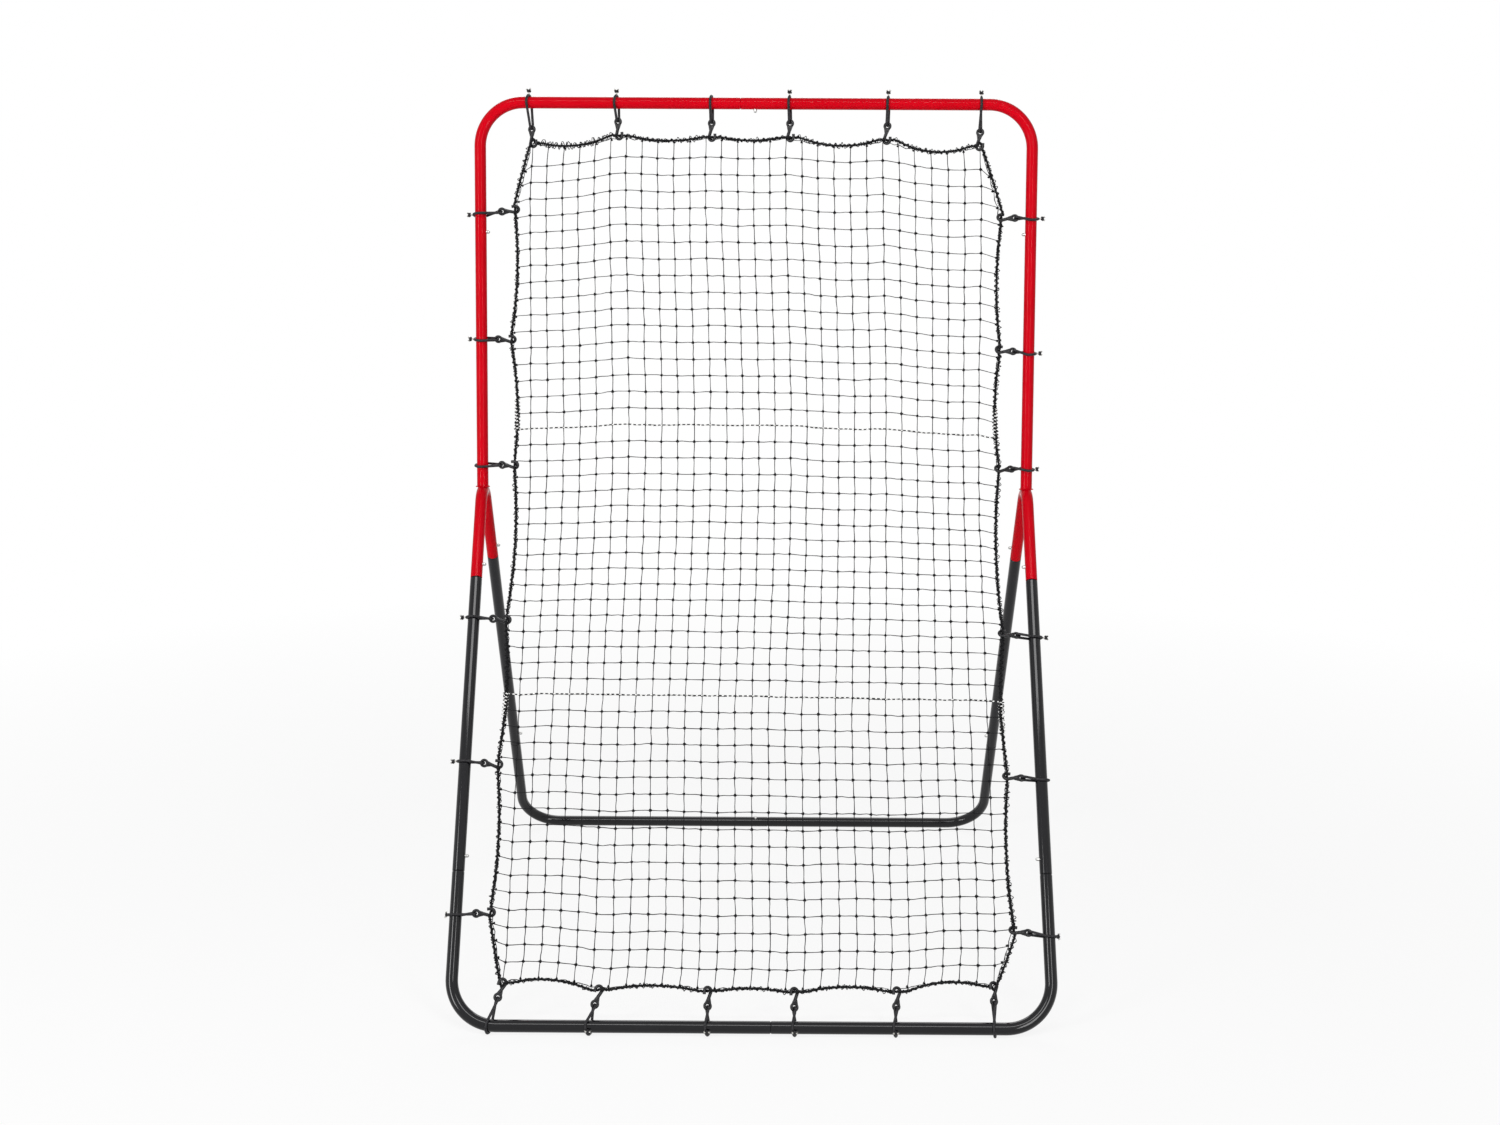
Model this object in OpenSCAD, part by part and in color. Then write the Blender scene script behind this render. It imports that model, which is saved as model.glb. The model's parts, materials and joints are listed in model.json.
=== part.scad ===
/* [Tube frame] */
// Width of the frame between the centrelines of its side tubes
frame_w = 1048; // [900:1:1200]
// Outer diameter of the steel tube
tube_d = 22; // [19:0.5:28]
// Wall of the steel tube
tube_wall = 1.2; // [0.8:0.1:1.6]
// Centreline radius of the bends at the corners
corner_r = 82; // [60:1:110]
// Length of the posts from the apex, where post and leg centrelines meet, to the top bar
post_len = 702; // [620:1:900]
// Angle that the posts lean back
post_lean = 5.7; // [0:0.1:12]
// Length of the legs from the apex to the foot bars
leg_len = 1046; // [980:1:1300]
// Angle of each leg to the vertical
leg_angle = 32; // [26:0.5:38]

/* [Leg brackets] */
// Centreline radius of the bracket's crown
crown_r = 38; // [32:1:45]
// Length of each bracket leg from the apex
bracket_len = 216; // [170:1:260]
// How far the post's end reaches down past the top of the crown
post_cope = 5; // [3:0.1:8]
// Radius of the weld bead round the post's end
weld_r = 1.3; // [1:0.1:2]

/* [Tube joints] */
// Distance of the post joints from the apex
post_joint = 486; // [420:1:530]
// Distance of the lower leg joints from the apex
leg_joint = 775; // [740:1:820]
// Place of the top bar's joint across the frame
top_joint_x = -29; // [-60:1:0]
// Place of the foot bars' joints across the frame
foot_joint_x = 33; // [0:1:60]
// Depth that a swaged end goes into its socket
swage_len = 55; // [45:1:70]
// Radial clearance between a swaged end and its socket
swage_clear = 0.08; // [0.04:0.01:0.1]
// Length of the taper between the full tube and its swaged end
taper_len = 2; // [1:0.5:4]
// Gap between a socket's edge and the start of the taper
neck_gap = 0.5; // [0.3:0.1:2]

/* [Snap buttons] */
// Diameter of a button
button_d = 6.5; // [5:0.1:8]
// Height of a button above the tube
button_out = 6.5; // [4:0.1:8]
// Distance of a button from the edge of its socket
button_setback = 27; // [20:1:32]
// Radial clearance of a button in its hole
button_clear = 0.08; // [0.04:0.01:0.1]
// Diameter of the flange that keeps the button in the tube
flange_d = 9.2; // [8:0.1:10]
// Thickness of the flange
flange_t = 0.9; // [0.6:0.1:1.5]
// Width of the spring leaf
leaf_w = 8; // [6:0.5:9]
// Thickness of the spring leaf
leaf_t = 0.6; // [0.4:0.1:0.8]
// Length of the spring clip from its button to its bend
clip_len = 42; // [36:1:50]

/* [Bungee ties] */
// Diameter of the bungee cord
cord_d = 4.5; // [3.5:0.1:4.8]
// Diameter of the knot in each bungee
knot_d = 7.8; // [6.5:0.1:9]
// Length of the cord's tails past the knot
tail_len = 7; // [4:0.5:10]
// Turn of the bottom ties' knots towards the front of the bar
foot_knot_turn = 50; // [44:1:60]
// Thickness of the moulded hook's bar
hook_bar_d = 5.6; // [4.6:0.1:5.8]
// Thickness of the ring round the hook's eye
eye_bar_d = 5; // [4:0.1:5.2]
// Centreline radius of the hook's eye
eye_r = 5.6; // [5.5:0.1:6.5]
// Centreline radius of the hook's bend
bend_r = 6.4; // [6.3:0.1:7.5]
// Distance between the centres of the eye and the bend
hook_span = 26; // [24:0.5:27]
// Length of the hook's straight tip
hook_tip = 6; // [3:0.5:9]
// Height over the eye's centre to which the web in the fork of the hook reaches
hook_web = 13; // [11:0.5:15]
// Turn of the hooks towards the border rope, from square to it
hook_turn = 65; // [50:1:70]
// Turn of the border rope where it passes through a hook
rope_turn = 40; // [36:1:45]

/* [Net] */
// Width of the net
net_w = 925; // [820:1:960]
// Number of meshes across the net
net_cols = 13; // [9:1:13]
// Thickness of the net's twine
twine_d = 1.6; // [1.2:0.1:2]
// Distance from the apex at which the net leaves the posts and legs to round the bend
net_bend = 175; // [120:1:220]
// Diameter of the border rope
rope_d = 4.8; // [4:0.1:5]
// How far the border rope draws in between two hooks
scallop = 7; // [0:0.5:12]
// Diameter of the two strike zone cords
strike_d = 2.4; // [1.6:0.1:3]
// Height of the upper strike zone cord over the apex
strike_upper = 94; // [50:1:110]
// Distance of the lower strike zone cord down the legs from the apex
strike_lower = 447; // [400:1:520]

/* [Hidden] */
$fn = 48;

// Gap left between soft pieces and what carries them
soft_gap = 0.3;
red = "firebrick";
black = "#26272b";

// Ties: [place on the tube, place on the border rope, distance from tube to rope],
// across the frame on the bars, and up from the apex on the sides
top_places = [[-431, -423, 76], [-265, -260, 61], [-85, -84, 63], [63, 65, 63], [250, 248, 67], [426, 424, 78]];
foot_places = [[-455, -435, 74], [-282, -266, 63], [-76, -76, 62], [75, 75, 61], [250, 254, 63], [422, 423, 73]];
left_places = [[491, 502, 66], [256, 256, 58], [15, 12, 64], [-296, -300, 62], [-574, -579, 61], [-854, -849, 62]];
right_places = [[489, 491, 57], [234, 241, 56], [12, 9, 56], [-330, -322, 59], [-603, -596, 62], [-886, -875, 62]];

// Tube sections
tube_r = tube_d / 2;
bore_r = tube_r - tube_wall;
neck_r = bore_r - swage_clear;
neck_bore_r = neck_r - tube_wall;
shoulder_gap = neck_gap + taper_len;
lead_in = 0.6;

// Frame skeleton, before it is stood on the floor: foot bars at height 0, apexes over y = 0
side_x = frame_w / 2;
apex_z = leg_len * cos(leg_angle);
foot_y = leg_len * sin(leg_angle);
post_plane = -post_lean;
front_plane = 180 - leg_angle;
rear_plane = 180 + leg_angle;

// The bungees under the front bar raise it a little, so the frame leans back by stance_tilt
cord_r = cord_d / 2;
cord_flat = cord_d / 10;
cord_lift = soft_gap + cord_d - cord_flat;
stance_tilt = asin(cord_lift / (2 * foot_y));
stance_z = tube_r + cord_lift / 2;
stance_y = soft_gap + cord_d;

// Snap buttons and clips, measured from the tube's centreline
button_r = button_d / 2;
flange_r = flange_d / 2;
flange_seat = 0.3;
flange_top = sqrt(pow(neck_bore_r - flange_seat, 2) - pow(flange_r, 2));
leaf_top = flange_top - flange_t - 0.05;
leaf_floor = -sqrt(pow(neck_bore_r, 2) - pow(leaf_w / 2, 2)) + 0.1;

// Net profile: [y, z] from the top bar, round the bend in three flats, to the front bar
bend_turn = leg_angle - post_lean;
bend_radius = net_bend / tan(bend_turn / 2);
bend_rows = [2, 1, 2];
upper_rows = 7;
lower_rows = 11;
net_rows = [upper_rows, bend_rows[0], bend_rows[1], bend_rows[2], lower_rows];
net_top_gap = 66;
net_foot_gap = 73;

function post_yz(z) = [z * sin(post_lean), apex_z + z * cos(post_lean)];
function leg_yz(z) = [-z * sin(leg_angle), apex_z - z * cos(leg_angle)];
function bend_yz(share) =
    let (angle = post_lean + share * bend_turn, start = post_yz(net_bend))
    [start.x + bend_radius * (cos(angle) - cos(post_lean)), start.y - bend_radius * (sin(angle) - sin(post_lean))];
profile = [
    post_yz(post_len), post_yz(net_bend), bend_yz(2 / 5), bend_yz(3 / 5), leg_yz(net_bend), leg_yz(leg_len)
];
function run_to(i) = i == 0 ? 0 : run_to(i - 1) + norm(profile[i] - profile[i - 1]);
folds = [for (i = [0:len(profile) - 1]) run_to(i)];
run_y = [for (i = [0:len(profile) - 1]) [folds[i], profile[i].x]];
run_z = [for (i = [0:len(profile) - 1]) [folds[i], profile[i].y]];
function net_point(x, s) = [x, lookup(s, run_y), lookup(s, run_z)];
function net_down(s) = unit(net_point(0, s + 0.5) - net_point(0, s - 0.5));
function net_front(s) = cross(net_down(s), [1, 0, 0]);
function run_of(z) =
    z >= net_bend ? post_len - z
    : z <= -net_bend ? folds[4] - z - net_bend
    : folds[1] + (folds[4] - folds[1]) * (net_bend - z) / (2 * net_bend);

// Vectors
function unit(v) = v / norm(v);
function square_to(v, axis) = unit(v - (v * axis) * axis);

// A bar runs straight between its corner bends; past them its centreline rises along the bend
straight_x = side_x - corner_r;
function bend_angle(x) = abs(x) > straight_x ? sign(x) * asin((abs(x) - straight_x) / corner_r) : 0;
function bar_rise(x) = corner_r * (1 - cos(bend_angle(x)));

// Each tie is [point on the tube's centreline, point on the rope, direction along the tube, direction of the rope]
front_up = [0, sin(leg_angle), cos(leg_angle)];
post_up = [0, sin(post_lean), cos(post_lean)];
function yz_point(x, yz) = [x, yz.x, yz.y];
function side_ties(places, side) = [for (p = places) [
    yz_point(side * side_x, p[0] >= 0 ? post_yz(p[0]) : leg_yz(-p[0])),
    net_point(side * (side_x - p[2]), run_of(p[1])),
    p[0] >= 0 ? post_up : front_up,
    -net_down(run_of(p[1]))
]];
top_ties = [for (p = top_places) [
    yz_point(p[0], post_yz(post_len - bar_rise(p[0]))), net_point(p[1], p[2]), [1, 0, 0], [1, 0, 0]
]];
foot_ties = [for (p = foot_places) [
    yz_point(p[0], leg_yz(leg_len - bar_rise(p[0]))),
    net_point(p[1], folds[5] - p[2]),
    -cos(bend_angle(p[0])) * [1, 0, 0] - sin(bend_angle(p[0])) * front_up,
    [-1, 0, 0]
]];
left_ties = side_ties(left_places, -1);
right_ties = side_ties(right_places, 1);

// Border rope: its route on the flattened net, [x, run, height in front of the net]. It comes to each hook
// in the net's plane, then passes through the hook's bend from one side of the net to the other
rope_r = rope_d / 2;
through = 16;
crossing = 6;
crossing_along = crossing * cos(rope_turn);
crossing_out = crossing * sin(rope_turn);
function flat(point) = [point.x, point.y, 0];
function with_dips(hooks, along, weave, inward) = [
    for (i = [0:len(hooks) - 1])
        each concat(
            [
                flat(hooks[i] - through * along),
                flat(hooks[i] - crossing_along * along) + [0, 0, weave],
                flat(hooks[i] + crossing_along * along) - [0, 0, weave],
                flat(hooks[i] + through * along)
            ],
            i < len(hooks) - 1 ? [flat((hooks[i] + hooks[i + 1]) / 2 + inward)] : []
        )
];
function reversed(list) = [for (i = [len(list) - 1:-1:0]) list[i]];
function sorted(list) =
    len(list) < 2 ? list
    : let (pivot = list[0], rest = [for (i = [1:len(list) - 1]) list[i]])
        concat(sorted([for (v = rest) if (v < pivot) v]), [pivot], sorted([for (v = rest) if (v >= pivot) v]));
function column(table, i) = [for (p = table) [p.y, p[i]]];
function side_route(places, side) =
    let (
        hooks = [for (p = places) [side * (side_x - p[2]), run_of(p[1])]],
        points = with_dips(hooks, [0, 1], side * crossing_out, [-side * scallop, 0]),
        runs = sorted(concat([for (p = points) p.y], [for (i = [1:4]) folds[i]]))
    )
    [for (s = runs) [lookup(s, column(points, 0)), s, lookup(s, column(points, 2))]];
top_hold = [for (p = top_places) [p[1], p[2]]];
foot_hold = [for (p = foot_places) [p[1], folds[5] - p[2]]];
top_route = with_dips(top_hold, [1, 0], crossing_out, [0, scallop]);
foot_route = with_dips(foot_hold, [1, 0], -crossing_out, [0, -scallop]);
right_route = side_route(right_places, 1);
left_route = side_route(left_places, -1);
rope_route = concat(top_route, right_route, reversed(foot_route), reversed(left_route));

// Outline of a closed route moved inwards by a distance
function turned(v) = [-v.y, v.x];
function inset_corner(a, b, c, distance) =
    let (n1 = turned(unit(b - a)), n2 = turned(unit(c - b)), n = unit(n1 + n2))
    b + n * distance / (n * n1);
function inset(route, distance) =
    let (outline = [for (p = route) [p.x, p.y]], count = len(route))
    [for (i = [0:count - 1])
        inset_corner(outline[(i + count - 1) % count], outline[i], outline[(i + 1) % count], distance)];

// Cords: a closed tube through a ring of points, each with its own radius
cord_sides = 8;
function tangent(points, i) =
    unit(points[(i + 1) % len(points)] - points[(i + len(points) - 1) % len(points)]);
function cord_ring(centre, along, across, r) =
    let (u = unit(cross(along, across)), v = cross(u, along))
    [for (k = [0:cord_sides - 1]) centre + r * (cos(k * 360 / cord_sides) * u + sin(k * 360 / cord_sides) * v)];
function on_floor(p) = [p.x, p.y, max(p.z, (p.y * sin(stance_tilt) - stance_z) / cos(stance_tilt))];

module closed_cord(points, radii, across) {
    count = len(points);
    rings = [for (i = [0:count - 1]) cord_ring(points[i], tangent(points, i), across[i], radii[i])];
    faces = [
        for (i = [0:count - 1]) for (k = [0:cord_sides - 1])
            let (
                a = i * cord_sides + k,
                b = i * cord_sides + (k + 1) % cord_sides,
                c = ((i + 1) % count) * cord_sides + (k + 1) % cord_sides,
                d = ((i + 1) % count) * cord_sides + k
            )
            each [[a, b, c], [a, c, d]]
    ];
    polyhedron([for (ring = rings) for (p = ring) on_floor(p)], faces, convexity = 8);
}

// Stands the frame on the floor
module stance() {
    translate([0, stance_y, stance_z])
        rotate([-stance_tilt, 0, 0])
            children();
}

// A plane through both apexes: x across the frame, z away from the apex along the tubes
module in_plane(angle) {
    translate([0, 0, apex_z])
        rotate([angle, 0, 0])
            children();
}

module on_side(side) {
    if (side > 0)
        children();
    else
        mirror([1, 0, 0])
            children();
}

// Tube pieces
module tube_section() {
    difference() {
        circle(tube_r);
        circle(bore_r);
    }
}

module straight_tube(length) {
    linear_extrude(length)
        tube_section();
}

module bent_tube(radius, angle) {
    rotate_extrude(angle = angle)
        translate([radius, 0])
            tube_section();
}

module swaged_end() {
    total = shoulder_gap + swage_len;
    rotate_extrude()
        polygon([
            [bore_r, 0], [tube_r, 0], [neck_r, taper_len], [neck_r, total - lead_in],
            [neck_r - lead_in, total], [neck_bore_r, total], [neck_bore_r, taper_len]
        ]);
}

// Button frames: z out of the tube through the button, x along the tube towards the clip's bend
module at_side_button(side, joint_z) {
    on_side(side)
        translate([side_x, 0, joint_z - button_setback])
            rotate([0, -90, 0])
                children();
}

module at_top_button() {
    translate([top_joint_x + button_setback, 0, post_len])
        rotate([0, 180, 0])
            children();
}

module at_foot_button(turn) {
    translate([foot_joint_x - button_setback, 0, leg_len])
        rotate([180 + turn, 0, 0])
            children();
}

front_bar_turn = -90;
rear_bar_turn = 0;

module button_hole() {
    cylinder(h = tube_r + 1, r = button_r + button_clear);
}

// One corner of the frame: a side tube swaged at its joint, a bend and half a bar
module corner_tube(side, joint_z, bar_z, joint_x, swaged_bar) {
    shoulder = joint_z + shoulder_gap;
    bar_end = side * joint_x + (swaged_bar ? shoulder_gap : 0);
    on_side(side) {
        translate([side_x, 0, shoulder]) {
            straight_tube(bar_z - corner_r - shoulder);
            mirror([0, 0, 1])
                swaged_end();
        }
        translate([straight_x, 0, bar_z - corner_r])
            rotate([90, 0, 0])
                bent_tube(corner_r, 90);
        translate([bar_end, 0, bar_z])
            rotate([0, 90, 0])
                straight_tube(straight_x - bar_end);
        if (swaged_bar)
            translate([bar_end, 0, bar_z])
                rotate([0, -90, 0])
                    swaged_end();
    }
}

module top_corner(side) {
    color(red)
        stance()
            in_plane(post_plane)
                difference() {
                    corner_tube(side, post_joint, post_len, top_joint_x, side < 0);
                    at_side_button(side, post_joint)
                        button_hole();
                    at_top_button()
                        button_hole();
                }
}

module foot_corner(side, plane, turn) {
    color(black)
        stance()
            in_plane(plane)
                difference() {
                    corner_tube(side, leg_joint, leg_len, foot_joint_x, side > 0);
                    at_side_button(side, leg_joint)
                        button_hole();
                    at_foot_button(turn)
                        button_hole();
                }
}

// Straight part of each leg, swaged into the bracket and socketed for the foot
module leg_tube(side, plane) {
    shoulder = bracket_len + shoulder_gap;
    color(black)
        stance()
            in_plane(plane)
                difference() {
                    on_side(side)
                        translate([side_x, 0, shoulder]) {
                            straight_tube(leg_joint - shoulder);
                            mirror([0, 0, 1])
                                swaged_end();
                        }
                    at_side_button(side, bracket_len)
                        button_hole();
                    at_side_button(side, leg_joint)
                        button_hole();
                }
}

// The bracket's crown lies in the side plane, tangent to both of its legs. Its wall is drawn thinner by
// bend_thin on each face, and each leg starts by leg_lap before the crown ends, so that they meet as one tube
bend_thin = 0.05;
leg_lap = 0.5;
crown_centre = crown_r / sin(leg_angle);
crown_tangent = crown_r / tan(leg_angle);
crown_top = crown_centre - crown_r - tube_r;

module on_apex(side) {
    translate([side * side_x, 0, apex_z])
        children();
}

module crown_arc() {
    translate([0, 0, -crown_centre])
        rotate([90, 0, 90])
            rotate([0, 0, leg_angle])
                rotate_extrude(angle = 180 - 2 * leg_angle)
                    translate([crown_r, 0])
                        children();
}

module leg_bracket(side) {
    color(red)
        stance()
            difference() {
                union() {
                    on_apex(side)
                        crown_arc()
                            difference() {
                                circle(tube_r - bend_thin);
                                circle(bore_r + bend_thin);
                            }
                    for (plane = [front_plane, rear_plane])
                        in_plane(plane)
                            translate([side * side_x, 0, crown_tangent - leg_lap])
                                straight_tube(bracket_len - crown_tangent + leg_lap);
                }
                for (plane = [front_plane, rear_plane])
                    in_plane(plane)
                        at_side_button(side, bracket_len)
                            button_hole();
            }
}

module crown_solid(side) {
    on_apex(side)
        crown_arc()
            circle(tube_r);
}

post_end = -(crown_top + post_cope);

module side_post(side) {
    color(red)
        stance()
            difference() {
                in_plane(post_plane)
                    difference() {
                        translate([side * side_x, 0, post_end])
                            straight_tube(post_joint - post_end);
                        at_side_button(side, post_joint)
                            button_hole();
                    }
                crown_solid(side);
            }
}

// Weld bead: lumps laid round the post, on the crown in front and behind and down to the post's end at the sides
weld_rings = 24;
weld_lumps = 8;
weld_seat = 0.15;
crown_shift = crown_centre * sin(post_lean);
function crown_height(x, y, out) =
    sqrt(pow(crown_r + sqrt(max(pow(tube_r + out, 2) - pow(x, 2), 0)), 2) - pow(y - crown_shift, 2))
    - crown_centre * cos(post_lean);
function post_point(side, x, y, z) = [
    side * side_x + x,
    post_yz(z).x + y * cos(post_lean),
    post_yz(z).y - y * sin(post_lean)
];
function weld_ring_r(angle) = weld_r * (0.9 + 0.15 * cos(weld_lumps * angle));
function weld_centre(side, angle) =
    let (
        r = weld_ring_r(angle),
        out = r + weld_seat,
        x = (tube_r + out) * cos(angle),
        y = (tube_r + out) * sin(angle)
    )
    post_point(side, x, y, max(crown_height(x, y, out), post_end + r));

module post_welds() {
    angles = [for (i = [0:weld_rings - 1]) i * 360 / weld_rings];
    color(red)
        stance()
            for (side = [-1, 1])
                closed_cord(
                    [for (a = angles) weld_centre(side, a)],
                    [for (a = angles) weld_ring_r(a)],
                    [for (a = angles) post_up]
                );
}

// Snap button: a round-nosed pin on a flange
nose_z = tube_r + button_out - button_r;

module snap_button() {
    rotate_extrude() {
        translate([0, flange_top - flange_t])
            square([flange_r, flange_t]);
        translate([0, flange_top])
            square([button_r, nose_z - flange_top]);
        translate([0, nose_z])
            intersection() {
                circle(button_r);
                square(button_r);
            }
    }
}

// Spring clip: one leaf bent into a V, its long arm on the bore's floor, its short arm under the button
leaf_half = leaf_t / 2;
clip_path = [
    [-12, leaf_floor + leaf_half], [clip_len - 6, leaf_floor + leaf_half],
    [clip_len - 3, leaf_floor + 1], [clip_len - 1, leaf_floor + 2.4],
    [clip_len - 1.4, leaf_floor + 4.2], [clip_len - 4, leaf_floor + 5.2],
    [flange_r + 2, leaf_top - leaf_half], [-flange_r, leaf_top - leaf_half]
];
function path_normal(path, i) =
    let (a = path[max(i - 1, 0)], b = path[min(i + 1, len(path) - 1)])
    turned(unit(b - a));
function ribbon(path, half) = concat(
    [for (i = [0:len(path) - 1]) path[i] + half * path_normal(path, i)],
    [for (i = [len(path) - 1:-1:0]) path[i] - half * path_normal(path, i)]
);

module spring_clip() {
    rotate([90, 0, 0])
        linear_extrude(leaf_w, center = true)
            polygon(ribbon(clip_path, leaf_half));
}

module plated(plane) {
    color("silver")
        stance()
            in_plane(plane)
                children();
}

// Net: a flat of twine between two folds of the profile, cut back from the border rope
function fold_angle(i) =
    let (step = profile[i + 1] - profile[i])
    atan2(-step.x, -step.y);
fold_gap = 0.2;

// Twines that would meet a hook stand beside it
net_clear = 0.8;
hook_room = bend_r * sin(hook_turn) + hook_bar_d / 2 + twine_d / 2 + net_clear;
side_hooks = [for (p = concat(left_places, right_places)) run_of(p[1])];
bar_hooks = [for (p = concat(top_places, foot_places)) p[1]];
function beside(place, hooks) =
    let (near = [for (h = hooks) if (abs(place - h) < hook_room) h])
    len(near) == 0 ? place
    : 2 * place < min(near) + max(near) ? min(near) - hook_room
    : max(near) + hook_room;

module on_fold(i) {
    translate([0, profile[i].x, profile[i].y])
        rotate([-90 - fold_angle(i), 0, 0])
            translate([0, -folds[i], 0])
                children();
}

module net_flat(i) {
    last = len(net_rows) - 1;
    start = i == 0 ? net_top_gap : folds[i];
    end = i == last ? folds[5] - net_foot_gap : folds[i + 1];
    row_pitch = (end - start) / net_rows[i];
    col_pitch = net_w / net_cols;
    low = i == 0 ? 0 : folds[i] + twine_d / 2 + fold_gap;
    high = i == last ? folds[5] : folds[i + 1] + twine_d / 2;
    color(black)
        stance()
            on_fold(i)
                linear_extrude(twine_d, center = true)
                    intersection() {
                        polygon(inset(rope_route, rope_r + soft_gap));
                        translate([-side_x, low])
                            square([frame_w, high - low]);
                        union() {
                            for (c = [1:net_cols - 1])
                                translate([beside(c * col_pitch - net_w / 2, bar_hooks) - twine_d / 2, 0])
                                    square([twine_d, folds[5]]);
                            for (r = [1:net_rows[i] - (i == last ? 1 : 0)])
                                translate([-side_x, beside(start + r * row_pitch, side_hooks) - twine_d / 2])
                                    square([frame_w, twine_d]);
                        }
                    }
}

module border_rope() {
    points = [for (p = rope_route) net_point(p.x, p.y) + p.z * net_front(p.y)];
    color(black)
        stance()
            closed_cord(points, [for (p = points) rope_r], [for (p = points) [0, 1, 0.3]]);
}

module strike_cord(fold, s) {
    left = lookup(s, column(left_route, 0)) + rope_r + soft_gap;
    right = lookup(s, column(right_route, 0)) - rope_r - soft_gap;
    color("white")
        stance()
            on_fold(fold)
                translate([left, s, -(twine_d + strike_d) / 2 - 0.1])
                    rotate([0, 90, 0])
                        cylinder(h = right - left, d = strike_d);
}

// Bungee: a loop round the tube and through the hook's eye, knotted on the far side of the tube
knot_r = knot_d / 2;
eye_back = hook_span + eye_r;
wrap_step = 24;
eye_step = 30;
function tie_along(tie) = unit(tie[1] - tie[0]);
function hook_across(tie) =
    let (z = tie_along(tie), x = square_to(tie[3], z))
    cos(hook_turn) * cross(z, x) + sin(hook_turn) * x;
function hook_normal(tie) =
    let (z = tie_along(tie), x = square_to(tie[3], z))
    cos(hook_turn) * x - sin(hook_turn) * cross(z, x);
function knot_share(angle, knot_angle) = max(0, 1 - pow((angle - knot_angle) / 40, 2));
function loop_points(tie, knot_angle) =
    let (
        z = square_to(tie[1] - tie[0], tie[2]),
        y = cross(tie[2], z),
        eye = tie[1] - eye_back * tie_along(tie),
        eye_loop = (eye_bar_d + cord_d) / 2 + soft_gap,
        wrap = tube_r + soft_gap + cord_r,
        lean = asin((wrap - eye_loop) / norm(eye - tie[0])),
        side = sign(hook_normal(tie) * y),
        n = side * hook_normal(tie),
        from = -lean,
        to = 180 + lean,
        wraps = ceil((to - from) / wrap_step),
        turns = ceil((180 - 2 * lean) / eye_step)
    )
    concat(
        [for (i = [0:wraps])
            let (
                angle = from + (to - from) * i / wraps,
                r = cord_r + (knot_r - cord_r) * knot_share(angle, knot_angle)
            )
            [tie[0] + (tube_r + soft_gap + r) * (cos(angle) * y - sin(angle) * z), r]],
        [for (i = [0:turns])
            let (angle = 180 - lean - (180 - 2 * lean) * i / turns)
            [eye + eye_loop * (cos(angle) * n + sin(angle) * tie_along(tie)), cord_r]]
    );

module tail(tie, knot_angle, side) {
    z = square_to(tie[1] - tie[0], tie[2]);
    out = cos(knot_angle) * cross(tie[2], z) - sin(knot_angle) * z;
    way = unit(out + side * 0.8 * tie[2]);
    middle = tie[0] + (tube_r + soft_gap + knot_r) * out;
    translate(middle + (knot_r + 0.1) * way)
        rotate([0, acos(way.z), atan2(way.y, way.x)])
            cylinder(h = tail_len, d = cord_d - 0.5);
}

module bungee(tie, knot_angle = 90) {
    loop = loop_points(tie, knot_angle);
    color(black)
        stance() {
            closed_cord([for (p = loop) p[0]], [for (p = loop) p[1]], [for (p = loop) tie[2]]);
            for (side = [-1, 1])
                tail(tie, knot_angle, side);
        }
}

// Moulded hook: x from its shank to its tip, z from its eye to its bend. A flat web, wide where it starts
// inside the ring round the eye, runs into the shank
shank_d = hook_bar_d + 0.8;
shank_foot = [-bend_r, 0, 0];
shank_top = [0, 0, eye_r + eye_bar_d / 2 - hook_span];
shank = shank_foot - shank_top;
web_t = eye_bar_d - 0.8;
web_half = eye_r + 1;
web_low = eye_r / 4;
web_turn = 30;

module eye_web() {
    shank_x = shank.x * (hook_web - shank_top.z - hook_span) / shank.z;
    top_half = shank_d / 2 - 0.2;
    rotate([90, 0, 0])
        linear_extrude(web_t, center = true)
            polygon([
                [-web_half, web_low], [-eye_r * cos(web_turn), eye_r * sin(web_turn)], [0, eye_r],
                [eye_r * cos(web_turn), eye_r * sin(web_turn)], [web_half, web_low],
                [shank_x + top_half, hook_web], [shank_x - top_half, hook_web]
            ]);
}

module hook() {
    translate([0, 0, -hook_span]) {
        eye_web();
        rotate([90, 0, 0])
            rotate_extrude()
                translate([eye_r, 0])
                    circle(d = eye_bar_d);
    }
    translate(shank_top)
        rotate([0, -acos(shank.z / norm(shank)), 0])
            cylinder(h = norm(shank) + 0.8, d1 = shank_d, d2 = hook_bar_d + 0.4);
    rotate([90, 0, 180])
        rotate_extrude(angle = 180)
            translate([bend_r, 0])
                circle(d = hook_bar_d);
    translate([bend_r, 0, -hook_tip])
        cylinder(h = hook_tip, d = hook_bar_d);
}

module at_hook(tie) {
    x = hook_across(tie);
    z = tie_along(tie);
    y = cross(z, x);
    multmatrix([
        [x.x, y.x, z.x, tie[1].x],
        [x.y, y.y, z.y, tie[1].y],
        [x.z, y.z, z.z, tie[1].z],
        [0, 0, 0, 1]
    ])
        children();
}

module hooks(ties) {
    color("#1b1b1d")
        stance()
            for (tie = ties)
                at_hook(tie)
                    hook();
}

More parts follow.
